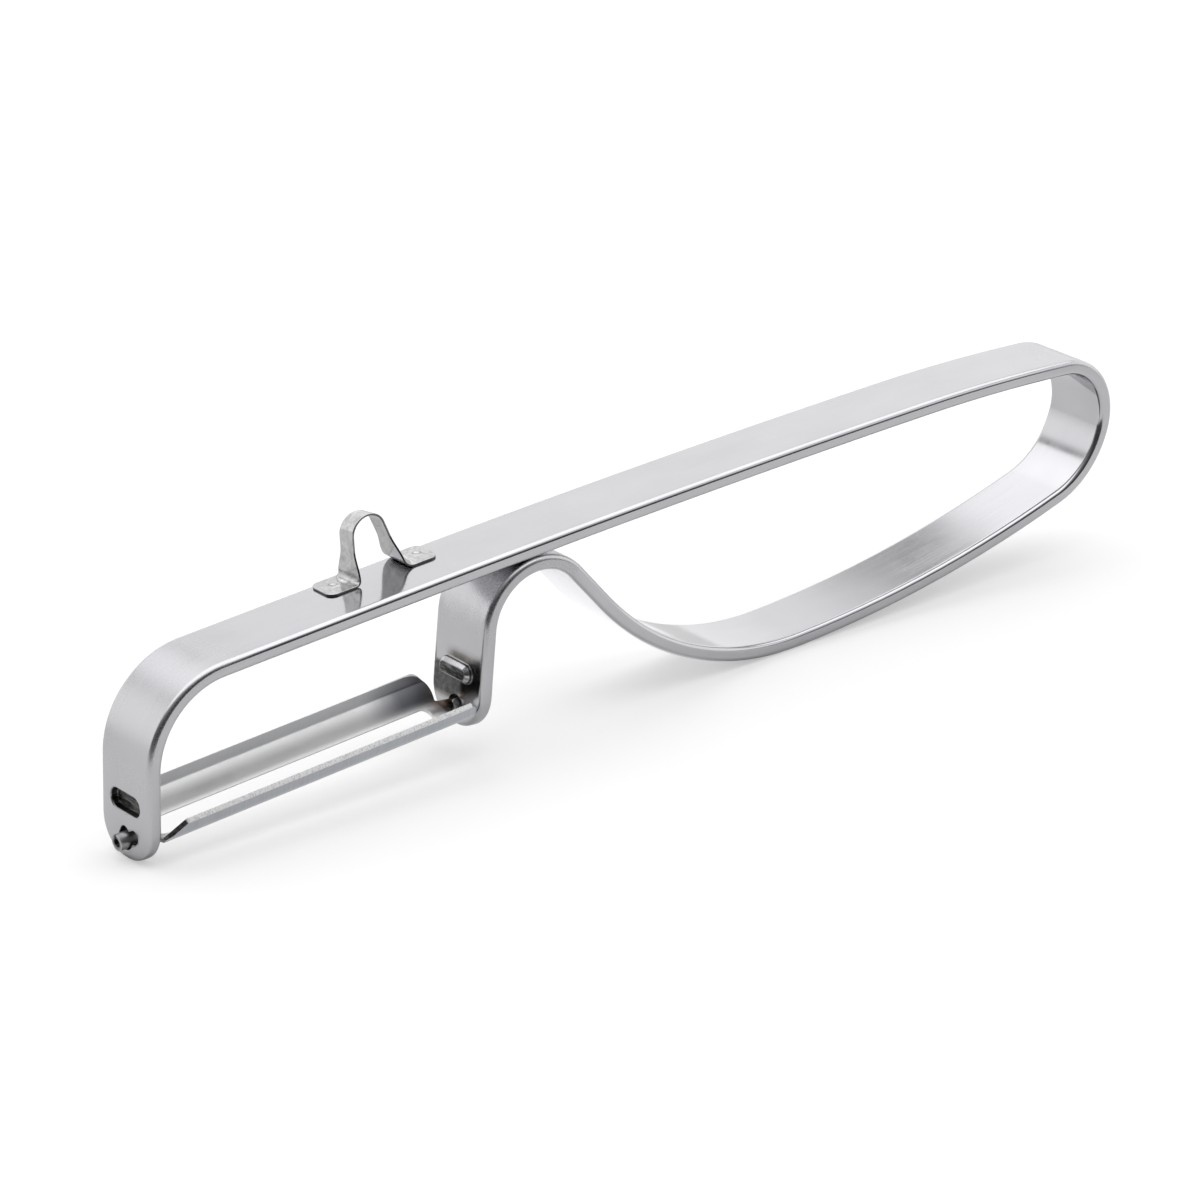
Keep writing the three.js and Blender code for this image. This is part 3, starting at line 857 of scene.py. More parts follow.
# A steel, made of shader helpers that each return an output socket
class Finish:
    def __init__(self, name):
        self.material = bpy.data.materials.new(name)
        self.material.use_nodes = True
        self.tree = self.material.node_tree
        self.nodes = self.tree.nodes
        self.link = self.tree.links.new
        self.shader = self.nodes["Principled BSDF"]
        self.spot = self.attribute("flat_place", "Vector")
        self.worked_and_painted_light = self.attribute("worked_and_painted_light")
        self.set("Metallic", 1.0)

    def attribute(self, label, output="Fac"):
        node = self.nodes.new("ShaderNodeAttribute")
        node.attribute_name = label
        return node.outputs[output]

    # Noise on the flat sheet, with its grain stretched along and across
    def grain(self, along_scale, across_scale, detail=3.0, roughness=0.5, distortion=0.0):
        mapping = self.nodes.new("ShaderNodeMapping")
        mapping.inputs["Scale"].default_value = (along_scale, across_scale, across_scale)
        self.link(self.spot, mapping.inputs["Vector"])
        noise = self.nodes.new("ShaderNodeTexNoise")
        noise.inputs["Scale"].default_value = 1.0
        noise.inputs["Detail"].default_value = detail
        noise.inputs["Roughness"].default_value = roughness
        noise.inputs["Distortion"].default_value = distortion
        self.link(mapping.outputs["Vector"], noise.inputs["Vector"])
        return noise.outputs["Fac"]

    def spread(self, value, low=0.0, high=1.0, start=0.3, end=0.7):
        return ramp(self.tree, value, start, end, low, high).outputs["Result"]

    def sum(self, first, second):
        return joined(self.tree, "ADD", first, second)

    def product(self, first, second):
        return joined(self.tree, "MULTIPLY", first, second)

    # Colour between two colours, each given as numbers or as a socket
    def tint(self, factor, first, second):
        node = self.nodes.new("ShaderNodeMix")
        node.data_type = "RGBA"
        self.link(factor, node.inputs["Factor"])
        colors = [socket for socket in node.inputs if socket.type == "RGBA"]
        for socket, color in zip(colors, (first, second)):
            if isinstance(color, tuple):
                socket.default_value = (*color, 1)
            else:
                self.link(color, socket)
        return next(socket for socket in node.outputs if socket.type == "RGBA")

    # Value between two values, each given as a number or as a socket
    def blend(self, factor, first, second):
        node = self.nodes.new("ShaderNodeMix")
        node.data_type = "FLOAT"
        self.link(factor, node.inputs["Factor"])
        for label, value in (("A", first), ("B", second)):
            if isinstance(value, float):
                node.inputs[label].default_value = value
            else:
                self.link(value, node.inputs[label])
        return node.outputs["Result"]

    def bump(self, height, depth):
        node = self.nodes.new("ShaderNodeBump")
        node.inputs["Strength"].default_value = 1.0
        node.inputs["Distance"].default_value = depth * MM
        self.link(height, node.inputs["Height"])
        self.link(node.outputs["Normal"], self.shader.inputs["Normal"])

    def set(self, socket, value):
        if isinstance(value, float):
            self.shader.inputs[socket].default_value = value
        else:
            self.link(value, self.shader.inputs[socket])


# Strip: polished in streaks along it, duller at tight bends, darkened at the rear stop by painted shade and
# dark reflection of the blade with a straw scorch tint, and torn where cut
def satin_strip_steel():
    finish = Finish("satin_strip_steel")
    streaks = finish.grain(0.06, 3.0, detail=5.0, roughness=0.65)
    stipple = finish.grain(3.2, 4.5, detail=2.0)
    clouds = finish.grain(0.09, 0.16)
    soot = finish.grain(1.4, 1.4, detail=4.0)
    scuffs = finish.grain(3.0, 0.5, detail=4.0, roughness=0.6)
    steel = finish.tint(finish.spread(clouds), *STRIP_STEEL)
    # Painted shade and dark reflection of the blade on the rear leg round its stop, with a straw scorch tint
    scorch = finish.product(finish.attribute("scorch"), finish.spread(soot, 0.75, 1.0))
    steel = finish.tint(finish.spread(scorch, start=0.0, end=0.5), steel, STRAW_SCORCH_AND_SHADE)
    steel = finish.tint(finish.spread(scorch, start=0.35, end=0.95), steel, BLACK_SCORCH_AND_SHADE)
    sheared = finish.tint(finish.spread(scuffs, start=0.42, end=0.75), *SHEARED_STEEL)
    finish.set("Base Color", finish.tint(finish.worked_and_painted_light, steel, sheared))
    rough = finish.sum(finish.spread(streaks, 0.1, 0.155), finish.spread(clouds, -0.02, 0.03))
    rough = finish.sum(rough, finish.spread(stipple, -0.02, 0.02))
    rough = finish.sum(rough, finish.spread(finish.attribute("bent"), 0.0, 0.16, 0.0, 1.0))
    finish.set("Roughness", finish.blend(finish.worked_and_painted_light, rough, WORKED_ROUGHNESS))
    torn = finish.product(finish.spread(soot, 0.0, 120.0), finish.worked_and_painted_light)
    fine = finish.sum(finish.spread(stipple, 0.0, 0.2), finish.spread(streaks))
    finish.bump(finish.sum(fine, torn), STRIP_RELIEF)
    return finish.material


# Blade: matt steel with hatched rims darkened partly as painted shade, bright burrs on their ground tops,
# painted shade and dark reflection of the rear leg, partly heat colour, brown specks, and dirt with painted
# shade at the pins.
# Where worked_and_painted_light is below 0 the cut is dirty, and the slot's far edge is painted darker as
# shade; where it is above 0 it is ground bright, and the slot's rear edge is painted bright as a highlight.
def ground_blade_steel():
    finish = Finish("ground_blade_steel")
    marks = finish.grain(0.3, 2.4)
    clouds = finish.grain(0.25, 0.12)
    hatch = finish.grain(0.2, 3.0, detail=1.0)
    burrs = finish.grain(1.2, 5.0, detail=2.0)
    soot = finish.grain(1.4, 1.4, detail=4.0)
    steel = finish.tint(finish.spread(clouds), *BLADE_STEEL)
    # The rims are hatched ground steel, darker partly as painted shade
    rim_steel_and_shade = finish.tint(finish.spread(hatch), *RIM_STEEL_AND_SHADE)
    steel = finish.tint(finish.attribute("rim"), steel, rim_steel_and_shade)
    # Ground tops are bright, and the slot's rear edge is painted bright as a highlight
    ground = finish.tint(finish.spread(burrs, start=0.35, end=0.55), *GROUND_STEEL_AND_HIGHLIGHT)
    steel = finish.tint(finish.worked_and_painted_light, steel, ground)
    # Painted shade and dark reflection of the rear leg at the rear end of the far wall, partly heat colour
    steel = finish.tint(finish.attribute("scorch"), steel, BLADE_SHADE_AND_HEAT)
    tinged = finish.tint(finish.spread(soot), *BROWN_HEAT)
    steel = finish.tint(finish.attribute("brown"), steel, tinged)
    # Dirt with painted shade inside the pins, and dirty cuts, with painted shade on the slot's far edge
    dirt_and_shade = finish.sum(finish.attribute("soil"), finish.spread(finish.worked_and_painted_light, start=0.0, end=-1.0))
    dirty_and_shaded = finish.tint(finish.spread(soot), *DIRT_AND_SHADE_COLOURS)
    finish.set("Base Color", finish.tint(dirt_and_shade, steel, dirty_and_shaded))
    rough = finish.sum(finish.spread(marks, 0.36, 0.42), finish.spread(clouds, -0.03, 0.03))
    finish.set("Roughness", finish.blend(finish.worked_and_painted_light, rough, WORKED_ROUGHNESS))
    finish.bump(finish.spread(marks), BLADE_RELIEF)
    return finish.material


# Eye remover: bright steel with swirls, and dark where it was cut, with painted contact shade on the lower
# half of its cut edges
def bright_eye_steel():
    finish = Finish("bright_eye_steel")
    streaks = finish.grain(0.12, 4.0, detail=4.0, roughness=0.6)
    clouds = finish.grain(0.4, 0.5, detail=4.0, distortion=0.6)
    swirls = finish.grain(0.55, 0.55, detail=4.0, roughness=0.6, distortion=1.6)
    steel = finish.tint(finish.spread(swirls), *EYE_STEEL)
    # Cut edges are dark, with painted contact shade on their lower half
    finish.set("Base Color", finish.tint(finish.worked_and_painted_light, steel, EYE_CUT_AND_SHADE_STEEL))
    rough = finish.sum(finish.spread(streaks, 0.1, 0.17), finish.spread(clouds, -0.02, 0.04))
    finish.set("Roughness", rough)
    relief = finish.sum(finish.spread(clouds), finish.spread(streaks, 0.0, 0.4))
    finish.bump(finish.sum(relief, finish.spread(swirls, 0.0, 0.6)), EYE_RELIEF)
    return finish.material


# The strip, cut flat with its holes and pressed stops, and bent along its line
def peeler_strip(finish):
    flat = Blank()
    stations = lengths_of(STRIP_LINE)
    half_width = STRIP_WIDTH / 2

    def side_cuts(start, end):
        low, high = sorted((start[0], end[0]))
        between = stations[(stations > low + CUT_MARGIN) & (stations < high - CUT_MARGIN)]
        if start[0] > end[0]:
            between = between[::-1]
        return [np.array([length, start[1]]) for length in between]

    outline = rounded_outline([
        (0, -half_width, LEG_END_RADIUS),
        (STRIP_LENGTH, -half_width, LEG_END_RADIUS),
        (STRIP_LENGTH, half_width, LEG_END_RADIUS),
        (0, half_width, LEG_END_RADIUS),
    ], side_cuts)
    edge_rows = round_edge_rows(STRIP_THICKNESS, STRIP_EDGE, STRIP_EDGE_STEPS)
    outer_top, outer_low = flat.edge(turned(outline, 1), edge_rows)
    tops = [outer_top]
    lows = [outer_low]
    face = STRIP_THICKNESS / 2
    for leg_end, inward in ((0, 1), (STRIP_LENGTH, -1)):
        pin = leg_end + inward * PIN_TO_LEG_END
        sides = (KEYHOLE_FAR, -KEYHOLE_NEAR) if inward > 0 else ()
        lobes = [(pin + KEYHOLE_UP, side, KEYHOLE_RADIUS) for side in sides]
        hole = punched((pin, 0, PIN_RADIUS + PIN_CLEARANCE), lobes)
        hole_rows = round_edge_rows(STRIP_THICKNESS, HOLE_EASE, FINE_EDGE_STEPS)
        top, low = flat.edge(turned(hole, -1), hole_rows, worked_and_painted_light=HOLE_WORK)
        tops.append(top)
        lows.append(low)
        stop = turned(obround((pin + inward * STOP_ABOVE_PIN, 0), STOP_HEIGHT, STOP_LENGTH), -1)
        pocket = pocket_rows(face, STOP_RECESS, STOP_FILLET)
        top, floor = flat.edge(stop, pocket, worked_and_painted_light=POCKET_WORK)
        flat.fill([floor])
        tops.append(top)
        boss = boss_rows(face, STOP_PROUD, STOP_FILLET, STOP_CHAMFER, STOP_EASE)
        low, crown = flat.edge(stop, boss, side=-1, worked_and_painted_light=BOSS_WORK)
        flat.fill([crown], side=-1)
        lows.append(low)
    leg_heights = np.arange(SHADE_SCORCH_GRID_MARGIN, SHADE_SCORCH_HIGH + SHADE_SCORCH_GRID_MARGIN, SHADE_SCORCH_GRID)
    leg_across = np.arange(-SHADE_SCORCH_GRID_REACH, SHADE_SCORCH_GRID_REACH + SHADE_SCORCH_GRID / 2, SHADE_SCORCH_GRID)
    leg_points = [(STRIP_LENGTH - height, across) for height in leg_heights for across in leg_across]
    flat.fill(tops)
    flat.fill(lows, side=-1, points=leg_points)

    spots = np.arange(0, STRIP_LENGTH, DULL_SPACING)
    headings = np.interp(spots, stations, [math.radians(station[2]) for station in STRIP_LINE])
    reach = round(DULL_REACH / DULL_SPACING)
    window = np.full(2 * reach + 1, 1 / (2 * reach + 1))
    tight = np.pad(np.abs(np.gradient(headings, spots)) > TIGHT_BEND, reach, "edge")
    near_bend = np.clip(2 * np.convolve(tight, window, "valid"), 0, 1)

    # The dulled outer side of tight bends, and the painted shade and dark reflection of the blade, with a
    # straw scorch tint, on the face of the rear leg round its stop, most on the side of the blade's near rim
    def values_at(places):
        height = STRIP_LENGTH - places[:, 0]
        near = -places[:, 1]
        outer = np.clip(0.5 + places[:, 2] / STRIP_THICKNESS, DULL_INSIDE, 1)
        outer = np.where(height < DULL_BOTH_FACES, 1, outer)
        below = SHADE_SCORCH_LOW + np.clip(near + SHADE_SCORCH_SLOPE_START, 0, SHADE_SCORCH_SLOPE_REACH) * SHADE_SCORCH_LOW_SLOPE
        from_top = np.clip((SHADE_SCORCH_HIGH - height) / SHADE_SCORCH_HIGH_FADE, 0, 1)
        from_below = np.clip((height - below) / SHADE_SCORCH_LOW_FADE + 0.5, 0, 1)
        far_reach = np.interp(height, SHADE_SCORCH_NARROWS, (STRIP_WIDTH, SHADE_SCORCH_FAR))
        from_far = np.clip((near + far_reach) / SHADE_SCORCH_FAR_FADE, 0, 1)
        on_inner_face = np.abs(places[:, 2] + face) < SAME_FACE
        return {
            "bent": np.interp(places[:, 0], spots, near_bend) * outer,
            "scorch": np.where(on_inner_face, from_top * from_below * from_far, 0),
        }

    line = line_object("strip_bend_line", STRIP_LINE, (1, 0, 0), (0, 0, 1))
    flat_mesh = flat.mesh("peeler_strip", values_at)
    return bent_sheet("peeler_strip", flat_mesh, line, line, (0, 1, 0), STRIP_PLACE, finish)


# Section of the blade: upright rim, a flank that swells inwards and a rounded floor on each side
def blade_section():
    rim_middle = (BLADE_WIDTH - BLADE_SHEET) / 2
    floor_angle = 90 - CREASE_ANGLE + FLANK_ANGLE
    crease = turn_span(-90, -CREASE_ANGLE)[0] * CREASE_RADIUS
    floor = turn_span(-180 + floor_angle, -floor_angle)[0] * FLOOR_RADIUS
    flank_radius = -(rim_middle + crease + floor) / turn_span(-90 - CREASE_ANGLE, FLANK_ANGLE)[0]
    return walk((rim_middle, RIM_TOP), -90, [
        run(RIM_HEIGHT),
        bend_right(CREASE_RADIUS, CREASE_ANGLE),
        bend_left(flank_radius, FLANK_ANGLE),
        bend_right(FLOOR_RADIUS, 2 * floor_angle),
        bend_left(flank_radius, FLANK_ANGLE),
        bend_right(CREASE_RADIUS, CREASE_ANGLE),
        run(RIM_HEIGHT),
    ], SHEET_STEP_ANGLE, SECTION_STEP_LENGTH)


# The blade with its long slot, ground rims and the two tabs that are rolled to pins
def slotted_blade(finish):
    section = blade_section()
    girth = section[-1][0]
    middle = girth / 2
    roll_radius = PIN_RADIUS - BLADE_SHEET / 2
    far_edge = middle - roll_radius * math.radians(ROLL_FAR_ANGLE)
    near_edge = middle + roll_radius * math.radians(ROLL_NEAR_ANGLE)
    root = BLADE_HALF - NECK_LENGTH
    front_tip = BLADE_HALF + BLADE_END_GAP + 2 * FRONT_WALL + PIN_TAIL
    rear_tip = BLADE_HALF + BLADE_END_GAP + 2 * REAR_WALL + PIN_TAIL

    # Notch beside a tab's root, from the tab outwards
    def notch(edge, way, end):
        return [
            (edge, end * root, NOTCH_CORNER),
            (edge + way * NOTCH_WIDTH, end * root, NOTCH_CORNER),
            (edge + way * NOTCH_WIDTH, end * BLADE_HALF, NOTCH_LIP_CORNER),
        ]

    # The sheet's across runs to the front, so lengths along the blade change sign
    def flipped(corners):
        return [(place, -length, radius) for place, length, radius in corners]

    def side_cuts(start, end):
        lengthwise = abs(start[0] - end[0]) < SAME_POINT
        return evenly(start, end, BLADE_SIDE_SPACING if lengthwise else BLADE_END_SPACING)

    outline = turned(rounded_outline(flipped([
        (0, FRONT_CUT_LENGTH - BLADE_HALF, RIM_CORNER),
        (0, BLADE_HALF - REAR_FAR_BACK, REAR_FAR_RADIUS),
        (far_edge, BLADE_HALF - REAR_FAR_BACK, NOTCH_CORNER),
        (far_edge, rear_tip, TAB_CORNER),
        (near_edge, rear_tip, TAB_CORNER),
        *notch(near_edge, 1, 1),
        (girth - REAR_NEAR_CUT, BLADE_HALF, END_CORNER),
        (girth, BLADE_HALF - REAR_NEAR_CUT, END_CORNER),
        (girth, FRONT_CUT_LENGTH - BLADE_HALF, RIM_CORNER),
        (girth - FRONT_CUT_DROP, -BLADE_HALF, END_CORNER),
        *notch(near_edge, 1, -1)[::-1],
        (near_edge, -front_tip, TAB_CORNER),
        (far_edge, -front_tip, TAB_CORNER),
        *notch(far_edge, -1, -1),
        (FRONT_CUT_DROP, -BLADE_HALF, END_CORNER),
    ]), side_cuts), 1)
    rim = np.minimum(outline[:, 0], girth - outline[:, 0])
    slant = np.maximum(np.abs(inward_ways(outline)[:, 0]), LEAST_SLANT)
    grind = np.clip(RIM_GRIND - rim, 0, RIM_GRIND) / slant
    at_front = outline[:, 1] > BLADE_HALF - FRONT_CUT_LENGTH + FRONT_CUT_MARGIN
    sheared = at_front & (rim > SAME_FACE) & (rim < FRONT_CUT_DROP)
    cut_share = np.clip((FRONT_CUT_DROP - FRONT_CUT_END - rim) / FRONT_CUT_FADE, 0, 1)
    grind = np.maximum(grind, sheared * cut_share * FRONT_CUT_GRIND)
    ground = np.where(sheared, -1, np.clip(2 - 2 * rim / RIM_GRIND, 0, 1))
    flat = Blank()
    ground_rows = ground_edge_rows(BLADE_SHEET, BLADE_EASE, grind)
    outer_top, outer_low = flat.edge(outline, ground_rows, worked_and_painted_light=[0, ground, ground, ground, ground, 0])
    across = np.array([-station[1][0] for station in section])
    far_side = np.interp(-SLOT_FAR_SIDE, across, lengths_of(section))
    near_side = np.interp(SLOT_NEAR_SIDE, across, lengths_of(section))
    slot = turned(rounded_outline(flipped([
        (far_side, SLOT_TO_FRONT - BLADE_HALF, SLOT_CORNER),
        (far_side, BLADE_HALF - SLOT_TO_REAR, SLOT_CORNER),
        (near_side, BLADE_HALF - SLOT_TO_REAR, SLOT_CORNER),
        (near_side, SLOT_TO_FRONT - BLADE_HALF, SLOT_CORNER),
    ]), side_cuts), -1)
    slot_rows = ground_edge_rows(BLADE_SHEET, BLADE_EASE, np.zeros(len(slot)))
    # The slot's rear edge is painted bright as a highlight, and its far edge painted darker as shade
    at_rear = slot[:, 1] < SLOT_TO_REAR + SLOT_CORNER - BLADE_HALF
    slot_highlight_and_shade = np.where(at_rear, SLOT_REAR_HIGHLIGHT, np.where(slot[:, 0] < middle, SLOT_FAR_SHADE, 0))
    slot_top, slot_low = flat.edge(slot, slot_rows, worked_and_painted_light=[0, slot_highlight_and_shade, slot_highlight_and_shade, slot_highlight_and_shade, slot_highlight_and_shade, 0])

    section_cuts = lengths_of(section)
    fine_cuts = np.linspace(far_edge, near_edge, TAB_ROLL_CUTS + 1)
    long_cuts = np.linspace(-root, root, BLADE_LONG_CUTS + 1)
    points = [(place, length) for place in section_cuts for length in long_cuts]
    for tip in (front_tip, -rear_tip):
        tab_cuts = np.linspace(math.copysign(root, tip), tip, TAB_LONG_CUTS)
        points.extend((place, length) for place in fine_cuts for length in tab_cuts)
        points.extend((place, length) for place in section_cuts for length in tab_cuts[:NECK_LONG_CUTS])
    flat.fill([outer_top, slot_top], points=points, squeeze=BLADE_SQUEEZE)
    flat.fill([outer_low, slot_low], side=-1, points=points, squeeze=BLADE_SQUEEZE)

    # How far a place is rolled from the trough to the pin and how fast that changes across,
    # with the dirt and painted shade at the pins, the rims darkened partly as painted shade, and the painted
    # shade and dark reflection of the rear leg, partly heat colour, at the rear end of the far wall
    def values_at(places):
        girths, along_blade, heights = places.T
        span = BLADE_HALF + BLADE_END_GAP * ROLL_END_SHARE - root
        out = np.abs(along_blade)
        share = np.clip((out - root) / span, 0, 1)
        near_tab = np.clip(np.minimum(girths - far_edge, near_edge - girths) / TAB_BLEND + 1, 0, 1)
        slope = 6 * share * (1 - share) / span * np.sign(along_blade)
        from_crease = RIM_HEIGHT - np.minimum(girths, girth - girths)
        rim_share = np.clip(from_crease / CREASE_BLEND + 0.5, 0, 1)
        # Painted shade and dark reflection of the rear leg, partly heat colour, towards the rear end of the
        # far wall
        shade_heat_along = np.clip((-along_blade - SHADE_HEAT_START) / SHADE_HEAT_FADE, 0, 1)
        shade_heat_across = np.clip((middle - SHADE_HEAT_FROM_MIDDLE - girths) / SHADE_HEAT_ACROSS, 0, 1)
        brown = np.hypot(girths - far_edge, along_blade + BLADE_HALF - BROWN_BACK) / BROWN_REACH
        # Dirt with painted shade, strongest inside the rolled pins
        dirt_and_shade = np.clip((out - BLADE_HALF + PIN_DARKENING_BACK) / PIN_DARKENING_FADE, 0, 1)
        return {
            "rolled": smooth(share) * near_tab,
            "rolled_slope": slope * near_tab,
            "soil": dirt_and_shade * np.where(heights < 0, PIN_DARKENING_BELOW, PIN_DARKENING_ABOVE),
            # The rims are darker partly as painted shade, most on the outer side
            "rim": rim_share * np.where(heights > 0, 1.0, RIM_UNDERSIDE),
            "scorch": shade_heat_along * shade_heat_across * (1 - SHADE_HEAT_LOST_AT_RIM * rim_share),
            "brown": np.exp(-brown ** 2),
        }

    roll_start = left_of(-180 + ROLL_FAR_ANGLE) * roll_radius - along(-180 + ROLL_FAR_ANGLE) * far_edge
    roll = walk(roll_start, -180 + ROLL_FAR_ANGLE, [
        run(far_edge),
        bend_right(roll_radius, ROLL_FAR_ANGLE + ROLL_NEAR_ANGLE),
        run(girth - near_edge),
    ])
    bend_line = line_object("blade_bend_line", section, (0, 1, 0), (0, 0, 1))
    roll_line = line_object("pin_roll_line", roll, (0, 1, 0), (0, 0, 1))
    flat_mesh = flat.mesh("slotted_blade", values_at)
    return bent_sheet("slotted_blade", flat_mesh, bend_line, roll_line, (-1, 0, 0), BLADE_PLACE, finish)


# The eye remover: a foot, a crisp bend, the loop, a sloping leg and a softly bent second foot
def eye_remover_loop(finish):
    foot = STRIP_THICKNESS / 2 + EYE_SEAT + EYE_SHEET / 2
    turn = 90 + EYE_SLOPE_ANGLE
    rise = EYE_FRONT_BEND_RADIUS + EYE_LEG_HEIGHT
    top_fall = turn_span(90, -turn)[1] * EYE_TOP_RADIUS
    bend_fall = turn_span(-EYE_SLOPE_ANGLE, EYE_SLOPE_ANGLE)[1] * EYE_REAR_BEND_RADIUS
    slope = (rise + top_fall + bend_fall) / math.sin(math.radians(EYE_SLOPE_ANGLE))
    start = EYE_ALONG_TOP - EYE_FRONT_BEND_RADIUS - EYE_FRONT_FOOT
    line = walk((start, foot), 0, [
        run(EYE_FRONT_FOOT),
        bend_left(EYE_FRONT_BEND_RADIUS, 90),
        run(EYE_LEG_HEIGHT),
        bend_right(EYE_TOP_RADIUS, turn),
        run(slope),
        bend_left(EYE_REAR_BEND_RADIUS, EYE_SLOPE_ANGLE),
        run(EYE_REAR_FOOT),
    ], SHEET_STEP_ANGLE, EYE_STEP_LENGTH)
    girth = line[-1][0]
    leg_start = EYE_FRONT_FOOT + bend_left(EYE_FRONT_BEND_RADIUS, 90)[0]
    leg_end = girth - EYE_REAR_FOOT - bend_left(EYE_REAR_BEND_RADIUS, EYE_SLOPE_ANGLE)[0]

    def half_width(length):
        share = np.clip(np.minimum(length - leg_start, leg_end - length) / EYE_TAPER, 0, 1)
        return (EYE_WIDTH + (EYE_LOOP_WIDTH - EYE_WIDTH) * smooth(share)) / 2

    cuts = lengths_of(line)
    cuts = cuts[(cuts > EYE_FOOT_CORNER) & (cuts < girth - EYE_FOOT_CORNER)]
    corner = EYE_WIDTH / 2 - EYE_FOOT_CORNER

    def foot_corner(centre, start):
        return arc(centre, EYE_FOOT_CORNER, start, start + 90, FOOT_CORNER_STEPS)

    outline = without_doubles([
        *foot_corner((EYE_FOOT_CORNER, -corner), 180),
        *[np.array([length, -half_width(length)]) for length in cuts],
        *foot_corner((girth - EYE_FOOT_CORNER, -corner), 270),
        *foot_corner((girth - EYE_FOOT_CORNER, corner), 0),
        *[np.array([length, half_width(length)]) for length in cuts[::-1]],
        *foot_corner((EYE_FOOT_CORNER, corner), 90),
    ])
    flat = Blank()
    cut_edge = round_edge_rows(EYE_SHEET, EYE_EASE, FINE_EDGE_STEPS)
    top, low = flat.edge(turned(outline, 1), cut_edge, worked_and_painted_light=EYE_EDGE_CUT_AND_SHADE)
    tops = [top]
    for spot in (EYE_FRONT_FOOT / 2, girth - EYE_REAR_FOOT / 2):
        weld = turned(obround((spot, 0), 2 * WELD_RADIUS, 2 * WELD_RADIUS), -1)
        rim, floor = flat.edge(weld, print_rows(EYE_SHEET / 2, WELD_RADIUS, WELD_DEPTH))
        flat.fill([floor])
        tops.append(rim)
    flat.fill(tops)
    flat.fill([low], side=-1)

    # The loop falls a little towards its far edge
    def fall(places, normals):
        above = places[:, 2] - foot
        share = (places[:, 1] + EYE_WIDTH / 2) / EYE_WIDTH
        squeeze = 1 - EYE_FALL * share
        lean = above * EYE_FALL / EYE_WIDTH / squeeze
        moved = np.column_stack([places[:, 0], places[:, 1] + EYE_ACROSS, foot + above * squeeze])
        faced_across = normals[:, 1] + lean * normals[:, 2]
        return moved, np.column_stack([normals[:, 0], faced_across, normals[:, 2] / squeeze])

    bend = line_object("eye_bend_line", line, (1, 0, 0), (0, 0, 1))
    flat_mesh = flat.mesh("eye_remover_loop", lambda places: {})
    return bent_sheet("eye_remover_loop", flat_mesh, bend, bend, (0, 1, 0), STRIP_PLACE, finish, fall)


# Floor, light and camera
def pale_plane(name, near_edge, height, paleness):
    mesh = bpy.data.meshes.new(name)
    far = FLOOR_REACH
    corners = [(-far, near_edge), (far, near_edge), (far, far), (-far, far)]
    mesh.from_pydata([(x * MM, y * MM, height * MM) for x, y in corners], [], [(0, 1, 2, 3)])
    material = bpy.data.materials.new(name)
    material.use_nodes = True
    shader = material.node_tree.nodes["Principled BSDF"]
    shader.inputs["Base Color"].default_value = (paleness, paleness, paleness, 1)
    shader.inputs["Emission Color"].default_value = (1.0, 1.0, 1.0, 1)
    shader.inputs["Roughness"].default_value = FLOOR_ROUGHNESS
    shader.inputs["Specular IOR Level"].default_value = 0.0
    mesh.materials.append(material)
    plane = keep_mesh(name, mesh)
    return plane


# A pool of light on the table under the hump
def light_pool(tree):
    place = tree.nodes.new("ShaderNodeTexCoord").outputs["Object"]
    away = tree.nodes.new("ShaderNodeVectorMath")
    away.operation = "DISTANCE"
    away.inputs[1].default_value = Vector(POOL_PLACE) * MM
    tree.links.new(place, away.inputs[0])
    light = ramp(tree, away.outputs["Value"], POOL_FROM * MM, POOL_TO * MM, 0.0, POOL_LIGHT)
    tree.links.new(light.outputs["Result"], tree.nodes["Principled BSDF"].inputs["Emission Strength"])


# The floor that is seen, and the smaller table top that the steel mirrors
def pale_floor():
    seen = pale_plane("pale_floor", -FLOOR_REACH, 0, FLOOR_PALENESS)
    shader = seen.active_material.node_tree.nodes["Principled BSDF"]
    shader.inputs["Emission Strength"].default_value = FLOOR_LIGHT
    seen.visible_glossy = False
    mirrored = pale_plane("mirrored_table", TABLE_EDGE, TABLE_RISE, TABLE_PALENESS)
    light_pool(mirrored.active_material.node_tree)
    mirrored.visible_camera = False
    mirrored.visible_diffuse = False
    mirrored.visible_shadow = False


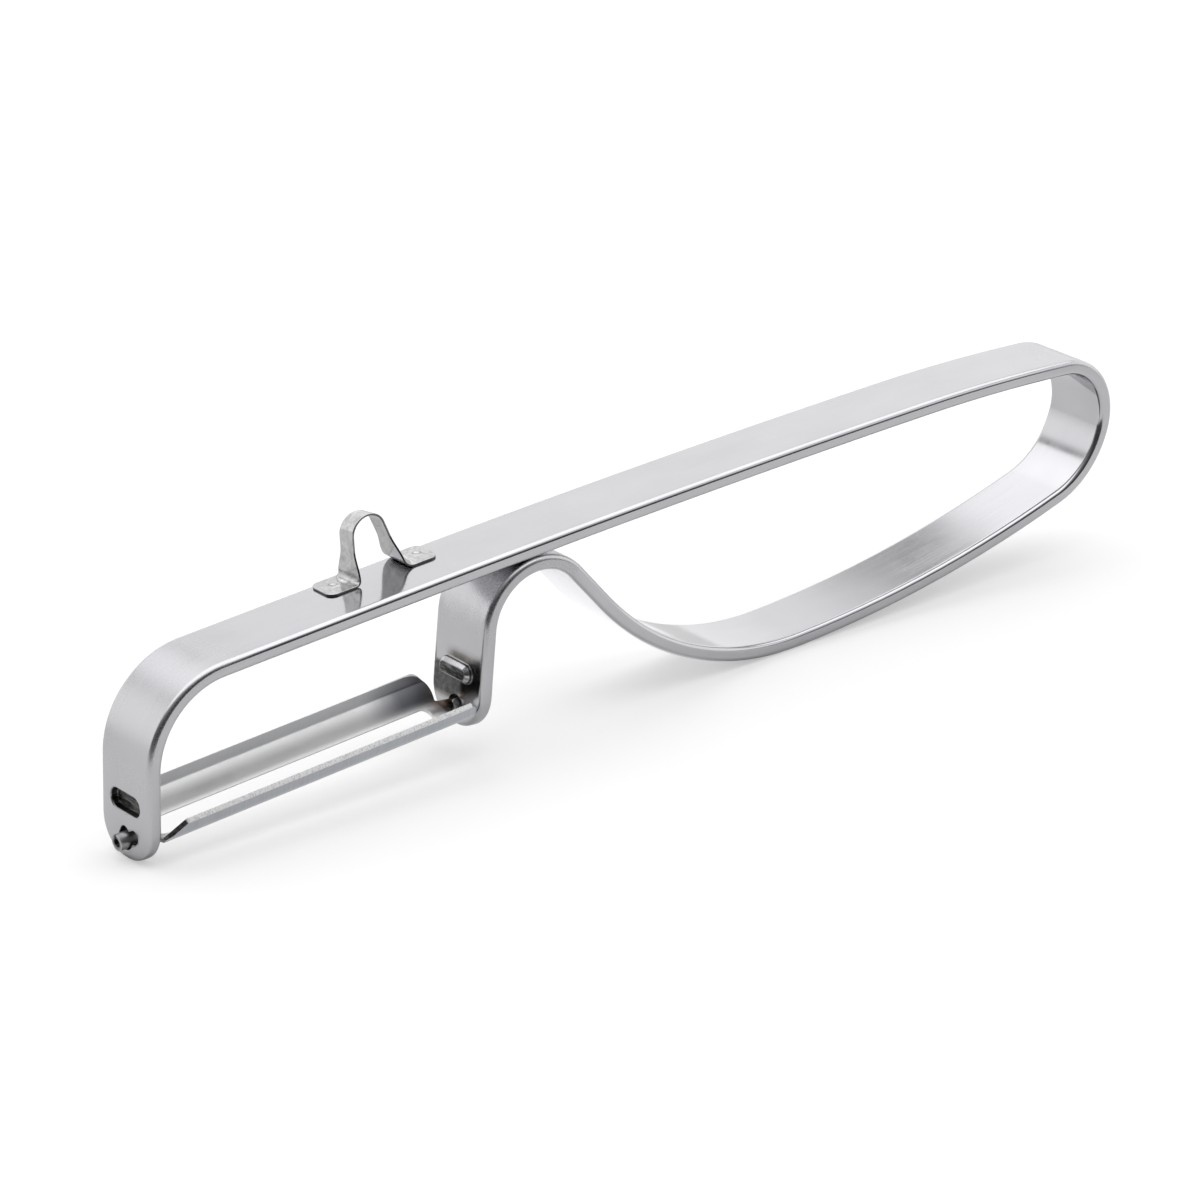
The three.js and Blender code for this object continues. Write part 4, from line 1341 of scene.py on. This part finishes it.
# Soft studio light as a sky: a pale wall on the far side below a soft box, and a dim room behind the camera
def studio_sky():
    world = bpy.data.worlds.new("studio")
    bpy.context.scene.world = world
    world.use_nodes = True
    tree = world.node_tree
    nodes = tree.nodes
    link = tree.links.new
    way = nodes.new("ShaderNodeTexCoord")

    def toward(direction, start, end, low, high):
        dot = nodes.new("ShaderNodeVectorMath")
        dot.operation = "DOT_PRODUCT"
        dot.inputs[1].default_value = direction
        link(way.outputs["Generated"], dot.inputs[0])
        step = ramp(tree, dot.outputs["Value"], start, end, low, high)
        step.interpolation_type = "SMOOTHSTEP"
        return step.outputs["Result"]

    def by_height(steps):
        parts = [toward((0, 0, 1), *step) for step in steps]
        total = parts[0]
        for part in parts[1:]:
            total = joined(tree, "ADD", total, part)
        return total

    mixed = nodes.new("ShaderNodeMix")
    mixed.data_type = "FLOAT"
    link(toward(LIT_WAY, LIT_FROM, LIT_TO, 0.0, 1.0), mixed.inputs["Factor"])
    link(by_height(DARK_SKY), mixed.inputs["A"])
    link(by_height(LIT_SKY), mixed.inputs["B"])
    background = nodes["Background"]
    background.inputs["Color"].default_value = (1.0, 1.0, 1.0, 1)
    link(mixed.outputs["Result"], background.inputs["Strength"])


def photograph_camera():
    data = bpy.data.cameras.new("photograph_camera")
    data.sensor_width = CAMERA_SENSOR
    data.lens = CAMERA_LENS
    data.clip_start = CAMERA_CLIP * MM
    camera = bpy.data.objects.new("photograph_camera", data)
    camera.location = Vector(CAMERA_PLACE) * MM
    turn = Euler((math.radians(90 - CAMERA_PITCH), 0, -math.radians(CAMERA_YAW))).to_matrix()
    roll = Matrix.Rotation(math.radians(CAMERA_ROLL), 3, "Z")
    camera.rotation_euler = (turn @ roll).to_euler()
    bpy.context.scene.collection.objects.link(camera)
    bpy.context.scene.camera = camera


bpy.context.scene.view_settings.view_transform = "Standard"
BENDER = sheet_bender()
pale_floor()
studio_sky()
photograph_camera()

strip = peeler_strip(satin_strip_steel())
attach(strip, "frame")
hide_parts("frame_strip")

blade = slotted_blade(ground_blade_steel())
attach(blade, "blade")
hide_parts("swivel_blade")

eye = eye_remover_loop(bright_eye_steel())
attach(eye, "frame")
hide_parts("eye_remover")
